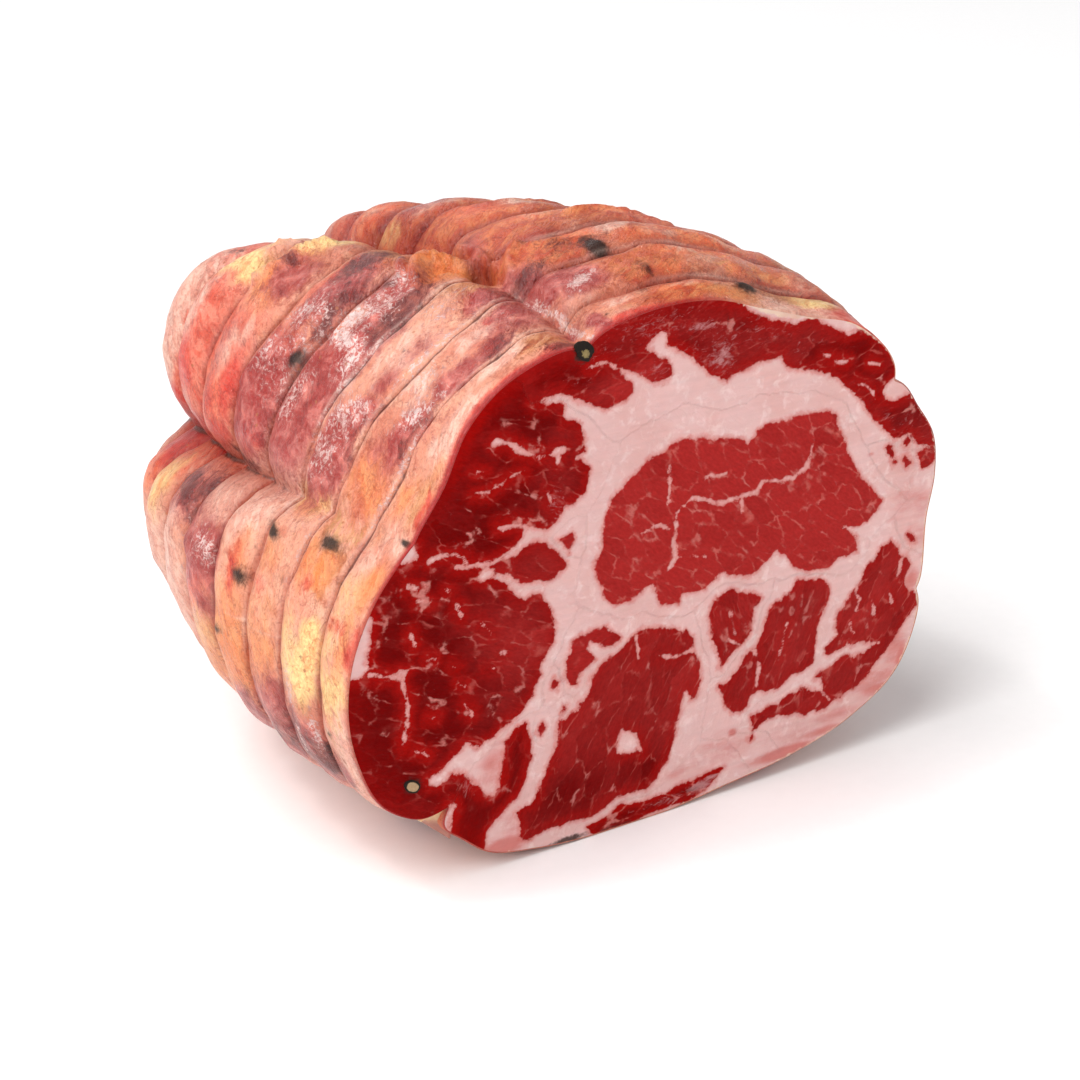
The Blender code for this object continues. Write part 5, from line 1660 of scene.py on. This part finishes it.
@dataclass
class CutFace:
    """The flat cut: muscles in a net of fat, inside the thin edge of the casing."""

    form: CoppaForm
    finish: CuredMeat = field(default_factory=CuredMeat)
    cells: int = 280
    inset: float = 0.2
    thickness: float = 1.4
    sunk: float = 0.03
    relief: float = 0.16
    # Width of the casing's cut edge by direction.
    rind_width: Table = (
        (0, 0.5), (20, 0.3), (35, 0.3), (42, 0.7), (47, 0.3), (53, 0.5), (60, 1.2), (66, 0.9), (72, 0.2),
        (90, -0.6), (130, -0.8), (150, -0.8), (160, -0.4), (172, 0.0), (185, 0.0), (195, -0.4),
        (215, -0.3), (222, 0.0), (235, 0.2), (270, 0.1), (295, 0.5), (320, 0.5), (340, 0.6),
    )
    # Where the lean is a bright clear red along the rim.
    rim_glow: Table = (
        (0, 0.0), (60, 0.2), (90, 0.4), (104, 0.5), (119, 0.5), (128, 0.9), (142, 0.9), (150, 0.45),
        (165, 0.25), (180, 0.25), (200, 0.35), (222, 0.35), (240, 0.3), (280, 0.0),
    )
    # Where the lean along the rim has no flecks.
    plain_rim: Table = (
        (60, 0.0), (100, 0.3), (116, 0.9), (150, 1.0), (165, 0.5), (185, 0.3), (205, 0.9), (225, 0.6),
        (245, 0.0),
    )
    # The square that the face is spread on: its lower left corner and its side.
    spread_corner: Pair = (-66.0, -1.0)
    spread_side: float = 132.0
    # Dark bits: across, height, half width, half height and strength.
    dirt: Rows = (
        (-20, 0.9, 5, 0.8, 1.2), (-9, 0.6, 5, 0.5, 0.9), (-52.5, 67.2, 0.9, 1.1, 1.4),
        (13.5, 94.5, 0.25, 1.6, 0.9), (8, 3.0, 5, 0.9, 0.7), (-17.3, 94, 2.2, 2.0, 1.3),
        (47, 18.8, 0.6, 0.5, 0.7), (-52.8, 22, 2.6, 2.2, 0.9),
    )

    def flat_places(self, squares: np.ndarray) -> tuple[np.ndarray, np.ndarray, np.ndarray]:
        """Spreads a square grid over the face.

        Args:
            squares: places in a square from -1 to 1.

        Returns:
            Places across and above the floor, directions, and distances from the rim.
        """
        share = np.max(np.abs(squares), axis=1)
        angle = np.degrees(np.arctan2(squares[:, 1], squares[:, 0])) % 360.0
        edge = self.form.skin_ring(angle, 0.0)
        out = edge[:, (0, 2)] - self.form.centre
        length = np.hypot(*out.T)
        reach = share * (length - self.inset) / length
        places = np.array(self.form.centre) + out * reach[:, None]
        return places, angle, length * (1.0 - reach)

    def shape_mesh(self) -> None:
        """Adds a grid, spreads it over the cut and closes it behind."""
        deselect_all()
        bpy.ops.mesh.primitive_grid_add(x_subdivisions=self.cells, y_subdivisions=self.cells, size=2.0)
        obj = bpy.context.object
        mesh = obj.data
        places, angle, from_rim = self.flat_places(vertex_places(mesh)[:, :2])
        self.paint(mesh, places, angle, from_rim)
        lean = np.empty(len(mesh.vertices), np.float32)
        mesh.attributes["lean"].data.foreach_get("value", lean)
        # Lean stands a little proud of fat, and both sink under the casing's lip at the rim.
        proud = self.relief * (smoothstep(-0.5, 0.8, lean) - 0.5)
        deep = np.column_stack([places, np.zeros(len(places))])
        proud = proud + 0.12 * soft_noise(deep, 7.0, 11)
        proud = proud + 0.05 * soft_noise(deep, 1.8, 12)
        proud = proud * smoothstep(0.5, 2.5, from_rim)
        skin = np.column_stack([places[:, 0], self.sunk - proud, places[:, 1]])
        mesh.vertices.foreach_set("co", self.form.placed(skin).ravel())
        layer = mesh.uv_layers.new(name="OFBake")
        vertex = np.empty(len(mesh.loops), int)
        mesh.loops.foreach_get("vertex_index", vertex)
        spread = (places - self.spread_corner) / self.spread_side
        layer.data.foreach_set("uv", spread[vertex].astype(np.float32).ravel())
        self.close_behind(obj)

    def close_behind(self, obj: bpy.types.Object) -> None:
        """Pulls the border of the face back into the coppa and closes it in the middle.

        Args:
            obj: the face.
        """
        bpy.ops.object.mode_set(mode="EDIT")
        select_edges(obj, lambda edge: edge.is_boundary)
        back = (0.0, self.thickness * MM, 0.0)
        bpy.ops.mesh.extrude_edges_move(TRANSFORM_OT_translate={"value": back})
        bpy.ops.mesh.extrude_edges_move(TRANSFORM_OT_translate={"value": (0.0, 0.0, 0.0)})
        bpy.ops.mesh.merge(type="CENTER")
        close_edit()

    def paint(
        self, mesh: bpy.types.Mesh, places: np.ndarray, angle: np.ndarray, from_rim: np.ndarray,
    ) -> None:
        """Stores what lies where on the face: lean or fat, tone, fibres, flecks, blush, bloom and casing.

        Args:
            mesh: the face's mesh.
            places: place of each vertex across and above the floor.
            angle: its direction.
            from_rim: its distance from the rim.
        """
        deep = np.column_stack([places, np.zeros(len(places))])
        warp = np.stack([soft_noise(deep, 2.6, 21), soft_noise(deep, 2.6, 22)], -1) * 0.35
        moved = places + warp
        lean = np.full(len(places), -60.0)
        tone = np.zeros(len(places))
        flecks = np.zeros(len(places))
        fibre = np.zeros((len(places), 3))
        for number, muscle in enumerate(MUSCLES):
            inside = inside_of(moved, np.array(muscle.outline, float))
            chosen = inside > lean
            lean = np.where(chosen, inside, lean)
            tone = np.where(chosen, muscle.tone, tone)
            flecks = np.where(chosen, muscle.flecks, flecks)
            turn = math.radians(muscle.fibre)
            along = places @ np.array((math.cos(turn), math.sin(turn)))
            across = places @ np.array((-math.sin(turn), math.cos(turn)))
            # The noise is drawn out along the fibres.
            lay = np.stack([along * 0.5, across, np.full(len(places), 7.0 * number)], -1)
            fibre = np.where(chosen[:, None], lay, fibre)
        for spot in FAT_SPOTS:
            lean = np.minimum(lean, -inside_of(moved, np.array(spot, float)))
        thin = soft_noise(deep, 2.2, 25)
        for half_width, line in SEAMS:
            width = half_width * (0.75 + 0.6 * thin)
            lean = np.minimum(lean, distance_to_line(moved, np.array(line, float), False) - width)
        store(mesh, "lean", lean)
        store(mesh, "tone", np.clip(tone + self.soft(places, SHADE, total=True), 0.0, 1.1))
        # Along the rim of the left side the lean is plain.
        plain = curve_round(angle, self.plain_rim) * (1.0 - smoothstep(3.0, 7.0, from_rim))
        store(mesh, "flecks", flecks * (1.0 - plain))
        store(mesh, "fibre", fibre)
        store(mesh, "blush", self.soft(places, BLUSH))
        store(mesh, "bloom", self.soft(places, BLOOM))
        store(mesh, "dirt", self.soft(places, self.dirt))
        width = 3.2 + 1.6 * soft_noise(deep, 7.0, 27)
        store(mesh, "glow", curve_round(angle, self.rim_glow) * bell(from_rim, width))
        store(mesh, "rind", curve_round(angle, self.rind_width) + self.inset - from_rim)

    def soft(self, places: np.ndarray, spots: Rows, total: bool = False) -> np.ndarray:
        """How strong a set of soft spots is at each place.

        Args:
            places: places across and above the floor.
            spots: for each spot its place, half sizes and strength.
            total: adds the spots up, where otherwise the strongest counts.

        Returns:
            One value for each place.
        """
        amount = np.zeros(len(places))
        for x, z, half_x, half_z, strength in spots:
            apart = ((places[:, 0] - x) / half_x) ** 2 + ((places[:, 1] - z) / half_z) ** 2
            spot = strength * np.exp(-HALVING * apart)
            amount = amount + spot if total else np.maximum(amount, spot)
        return amount

    def build(self) -> bpy.types.Object:
        """Makes the cut face.

        Returns:
            The piece.
        """
        self.shape_mesh()
        bpy.ops.object.shade_smooth_by_angle(angle=math.radians(40.0))
        return finish_object("cut_face", self.finish.build())


# Pepper.


@dataclass(frozen=True)
class BlackPepper:
    """Black peppercorn: a dried, wrinkled, nearly black skin round a pale tan core, both matt.

    Where the slicer went through one, the eye sees a tan disc in a dark ring.
    """

    name: str = "black peppercorn"
    shell: str = "#0e0b09"
    shell_light: str = "#2c2119"
    core: str = "#c9ab86"
    core_dark: str = "#8d6c4c"
    ragged: float = 0.3

    def build(self) -> bpy.types.Material:
        """Makes the material.

        Returns:
            The material, which reads from an attribute how far each place is from the core.
        """
        material, node, shader = new_material(self.name)
        place = node("TexCoord").outputs["Object"]
        wrinkle = node("TexNoise", {"Vector": place, "Scale": per_mm(0.6), "Detail": 4.0, "Roughness": 0.7})
        dark, pale = (
            node("Mix", {SHARE: wrinkle, UNDER: linear(one), OVER: linear(other)}, **BLEND)
            for one, other in ((self.shell, self.shell_light), (self.core, self.core_dark))
        )
        core = node("Attribute", attribute_name="core").outputs["Vector"]
        out = node("VectorMath", {0: core}, operation="LENGTH")
        frayed = node("Math", {0: wrinkle, 1: self.ragged, 2: out}, **TIMES_PLUS)
        middle = 0.94 + 0.5 * self.ragged
        edge = node("MapRange", {0: frayed, 1: middle + 0.08, 2: middle - 0.08}, **SMOOTH)
        colour = node("Mix", {SHARE: edge, UNDER: dark, OVER: pale}, **BLEND)
        bump = node("Bump", {"Strength": 0.8, "Distance": 0.2 * MM, "Height": wrinkle})
        plug(shader, {"Base Color": colour, "Normal": bump, "Roughness": 0.7, "Specular IOR Level": 0.15})
        return material


@dataclass
class CutPeppercorn:
    """A peppercorn that the slicer went through, with its flat side in the cut."""

    form: CoppaForm
    name: str
    across: float
    height: float
    half_sizes: Pair
    turn: float
    core_share: float
    depth: float = 1.6
    proud: float = 0.25
    finish: BlackPepper = field(default_factory=BlackPepper)
    uneven: float = 0.06
    core_aside: Pair = (0.0, 0.0)

    def build(self) -> bpy.types.Object:
        """Makes the peppercorn: a ball, bisected and filled, with the core a step above the shell.

        Returns:
            The piece.
        """
        deselect_all()
        bpy.ops.mesh.primitive_uv_sphere_add(segments=40, ring_count=24, radius=1.0, enter_editmode=True)
        obj = bpy.context.object
        bpy.ops.mesh.select_all(action="SELECT")
        bpy.ops.mesh.bisect(plane_co=(0, 0, 0.001), plane_no=(0, -1.0, 0.0), use_fill=True, clear_outer=True)
        bm = bmesh.from_edit_mesh(obj.data)
        bpy.ops.mesh.select_mode(type="FACE")
        for face in bm.faces:
            face.select = len(face.verts) > 4
        bmesh.update_edit_mesh(obj.data)
        # A rounded rim, the shell, the step up to the core, and two rings in the core.
        shell = (1.0 - self.core_share) * 0.6
        for thickness, depth in ((0.1, 0.04), (shell, -0.02), (0.1, 0.05), (0.2, 0.04), (0.2, 0.0)):
            bpy.ops.mesh.inset(thickness=thickness, depth=depth)
        bpy.ops.mesh.poke()
        close_edit()
        mesh = obj.data
        ball = vertex_places(mesh)
        rough = self.uneven * (soft_noise(ball + 9.0, 0.9, 31) + 0.4 * soft_noise(ball + 9.0, 0.3, 32))
        ball = ball * (1.0 + rough)[:, None]
        from_core = (ball - (self.core_aside[0], 0.0, self.core_aside[1])) / self.core_share
        from_core[:, 1] = np.where(ball[:, 1] < 0.1, 0.0, 4.0)
        store(mesh, "core", from_core)
        turned = math.radians(self.turn)
        wide = ball[:, 0] * self.half_sizes[0]
        tall = ball[:, 2] * self.half_sizes[1]
        x = self.across + wide * math.cos(turned) - tall * math.sin(turned)
        z = self.height + wide * math.sin(turned) + tall * math.cos(turned)
        y = ball[:, 1] * self.depth - self.proud
        mesh.vertices.foreach_set("co", self.form.placed(np.column_stack([x, y, z])).ravel())
        bpy.ops.object.shade_smooth_by_angle(angle=math.radians(50.0))
        return finish_object(self.name, self.finish.build())


# The film of casing in the lower notch.


@dataclass(frozen=True)
class CasingFilm:
    """Casing that hangs free as a thin film: cream, see-through at its edge, with darker meat behind."""

    name: str = "natural casing, free film"
    cream: str = "#e9c393"
    brown: str = "#a56a5c"
    # Heights above the floor between which brown turns to cream.
    fade: Pair = (10.5, 14.0)

    def build(self) -> bpy.types.Material:
        """Makes the material, cream above and brownish pink below.

        Returns:
            The material.
        """
        material, node, shader = new_material(self.name)
        place = node("TexCoord").outputs["Object"]
        fibres = node("TexNoise", {"Vector": place, "Scale": per_mm(0.9), "Detail": 4.0, "Roughness": 0.6})
        height = node("SeparateXYZ", {0: place}).outputs["Z"]
        fade = node("MapRange", {0: height, 1: self.fade[0] * MM, 2: self.fade[1] * MM}, **SMOOTH)
        frayed = node("Math", {0: fibres, 1: 0.8, 2: -0.4}, **TIMES_PLUS)
        share = node("Math", {0: fade, 1: frayed}, **PLUS, use_clamp=True)
        colour = node("Mix", {SHARE: share, UNDER: linear(self.brown), OVER: linear(self.cream)}, **BLEND)
        bump = node("Bump", {"Strength": 0.5, "Distance": 0.2 * MM, "Height": fibres})
        plug(shader, {
            "Base Color": colour, "Normal": bump, "Roughness": 0.35,
            "Subsurface Weight": 0.4, "Subsurface Radius": (1.0, 0.6, 0.4), "Subsurface Scale": 1.0 * MM,
        })
        return material


@dataclass
class NotchFilm:
    """The film that bridges the notch at the lower left of the cut."""

    form: CoppaForm
    finish: CasingFilm = field(default_factory=CasingFilm)
    cells: int = 24
    thickness: float = 0.35
    corners: Rows = (
        (-50.5, 1.0, 13.6), (-43.9, 0.1, 16.6), (-44.6, 1.0, 8.4), (-50.5, 7.0, 13.2),
    )

    def build(self) -> bpy.types.Object:
        """Makes the film: a sheet, spread between its corners and given its thickness.

        Returns:
            The piece.
        """
        deselect_all()
        bpy.ops.mesh.primitive_grid_add(x_subdivisions=self.cells, y_subdivisions=self.cells, size=2.0)
        obj = bpy.context.object
        mesh = obj.data
        u, v = (vertex_places(mesh)[:, :2].T + 1.0) / 2.0
        low_left, high_right, low_right, back_left = (np.array(corner) for corner in self.corners)
        front = low_left + (high_right - low_left) * u[:, None]
        behind = back_left + (low_right - back_left) * u[:, None]
        sheet = front + (behind - front) * v[:, None]
        sag = 0.5 * np.sin(math.pi * u) + 0.25 * soft_noise(sheet, 1.6, 51)
        sheet = sheet + np.column_stack([sag * 0.3, sag, -sag * 0.4])
        mesh.vertices.foreach_set("co", self.form.placed(sheet).ravel())
        modifier = obj.modifiers.new("thickness", "SOLIDIFY")
        modifier.thickness = self.thickness * MM
        modifier.offset = 0.0
        bpy.ops.object.modifier_apply(modifier=modifier.name)
        bpy.ops.object.shade_smooth()
        return finish_object("notch_film", self.finish.build())


# The studio.


@dataclass
class Studio:
    """A pale floor, a bright even surround, soft lamps and the camera."""

    form: CoppaForm
    floor_size: float = 30.0
    card: tuple[str, str] = ("#f7f4f3", "#fbf8f7")
    surround: float = 0.34
    surround_tint: tuple[float, ...] = (0.92, 0.97, 1.0, 1.0)
    focal_length: float = 83.33
    elevation: float = 22.5
    azimuth: float = 33.5
    camera_place: tuple[float, float, float] = (-245.94, -332.13, 226.69)

    def add_floor(self) -> None:
        """Adds the floor, matt white card with a hardly visible grain."""
        deselect_all()
        bpy.ops.mesh.primitive_plane_add(size=self.floor_size)
        floor = bpy.context.object
        floor.name = "floor"
        material, node, shader = new_material("white card")
        place = node("TexCoord").outputs["Object"]
        grain = node("TexNoise", {"Vector": place, "Scale": per_mm(3.0), "Detail": 3.0})
        tint = node("Mix", {SHARE: grain, UNDER: linear(self.card[0]), OVER: linear(self.card[1])}, **BLEND)
        plug(shader, {"Base Color": tint, "Roughness": 0.25, "Specular IOR Level": 0.3})
        floor.data.materials.append(material)

    def add_surround(self) -> None:
        """Adds the even white surround."""
        world = bpy.data.worlds.new("studio")
        bpy.context.scene.world = world
        world.use_nodes = True
        background = world.node_tree.nodes["Background"]
        plug(background, {"Color": self.surround_tint, "Strength": self.surround})

    def add_sun(self, name: str, towards: tuple[float, float, float], spread: float, strength: float) -> None:
        """Adds a broad even light from one direction.

        Args:
            name: the light's name.
            towards: the direction that it comes from.
            spread: the angle that it fills, in degrees.
            strength: its strength in watts per square metre.
        """
        light = bpy.data.lights.new(name, "SUN")
        light.angle = math.radians(spread)
        light.energy = strength
        sun = bpy.data.objects.new(name, light)
        sun.rotation_euler = Vector(towards).to_track_quat("Z", "Y").to_euler()
        bpy.context.scene.collection.objects.link(sun)

    def add_lamp(self, name: str, place: tuple[float, float, float], size: float, power: float) -> None:
        """Adds a square soft lamp that points at the coppa.

        Args:
            name: the lamp's name.
            place: where it hangs, in metres.
            size: its side in metres.
            power: its power in watts.
        """
        light = bpy.data.lights.new(name, "AREA")
        light.shape = "SQUARE"
        light.size = size
        light.energy = power
        lamp = bpy.data.objects.new(name, light)
        lamp.location = place
        lamp.rotation_euler = (Vector((0.0, 0.0, 0.05)) - Vector(place)).to_track_quat("-Z", "Y").to_euler()
        bpy.context.scene.collection.objects.link(lamp)

    def add_camera(self) -> None:
        """Adds the camera at the photograph's place."""
        data = bpy.data.cameras.new("camera")
        data.lens = self.focal_length
        data.sensor_width = 36.0
        data.clip_start = 0.01
        camera = bpy.data.objects.new("camera", data)
        camera.location = self.form.placed(np.array(self.camera_place))
        camera.rotation_euler = Euler((math.radians(90.0 - self.elevation), 0.0, math.radians(-self.azimuth)))
        bpy.context.scene.collection.objects.link(camera)
        bpy.context.scene.camera = camera

    def build(self) -> None:
        """Makes the whole studio."""
        self.add_floor()
        self.add_surround()
        self.add_sun("skylight", towards=(-0.5, 0.05, 0.85), spread=48.0, strength=2.5)
        # Small and bright, so that moist spots glint.
        self.add_sun("glint", towards=(-0.46, 0.2, 0.86), spread=7.0, strength=0.38)
        self.add_lamp("window", place=(-0.8, -0.3, 0.5), size=0.45, power=3.35)
        self.add_lamp("fill", place=(0.45, -0.95, 0.6), size=0.7, power=3.4)
        self.add_lamp("back", place=(0.25, 1.1, 0.75), size=0.8, power=2.6)
        self.add_camera()
        view = bpy.context.scene.view_settings
        view.view_transform = "Standard"
        view.look = "None"


def main() -> None:
    """Builds every piece, then the studio."""
    logging.basicConfig(level=logging.INFO, format="%(name)s: %(message)s")
    form = CoppaForm()
    Casing(form).build()
    CutFace(form).build()
    CutPeppercorn(
        form, "peppercorn_in_cut", across=-52.7, height=21.6, half_sizes=(1.75, 1.15), turn=-32.0,
        core_share=0.78,
    ).build()
    olive = BlackPepper("black peppercorn, damp", core="#b09a66", core_dark="#4c4228", ragged=1.6)
    CutPeppercorn(
        form, "peppercorn_in_fold", across=-17.1, height=94.2, half_sizes=(2.05, 1.5), turn=-38.0,
        core_share=0.5, uneven=0.2, core_aside=(0.12, -0.14), finish=olive,
    ).build()
    NotchFilm(form).build()
    Studio(form).build()
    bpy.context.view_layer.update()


if __name__ == "__main__":
    main()
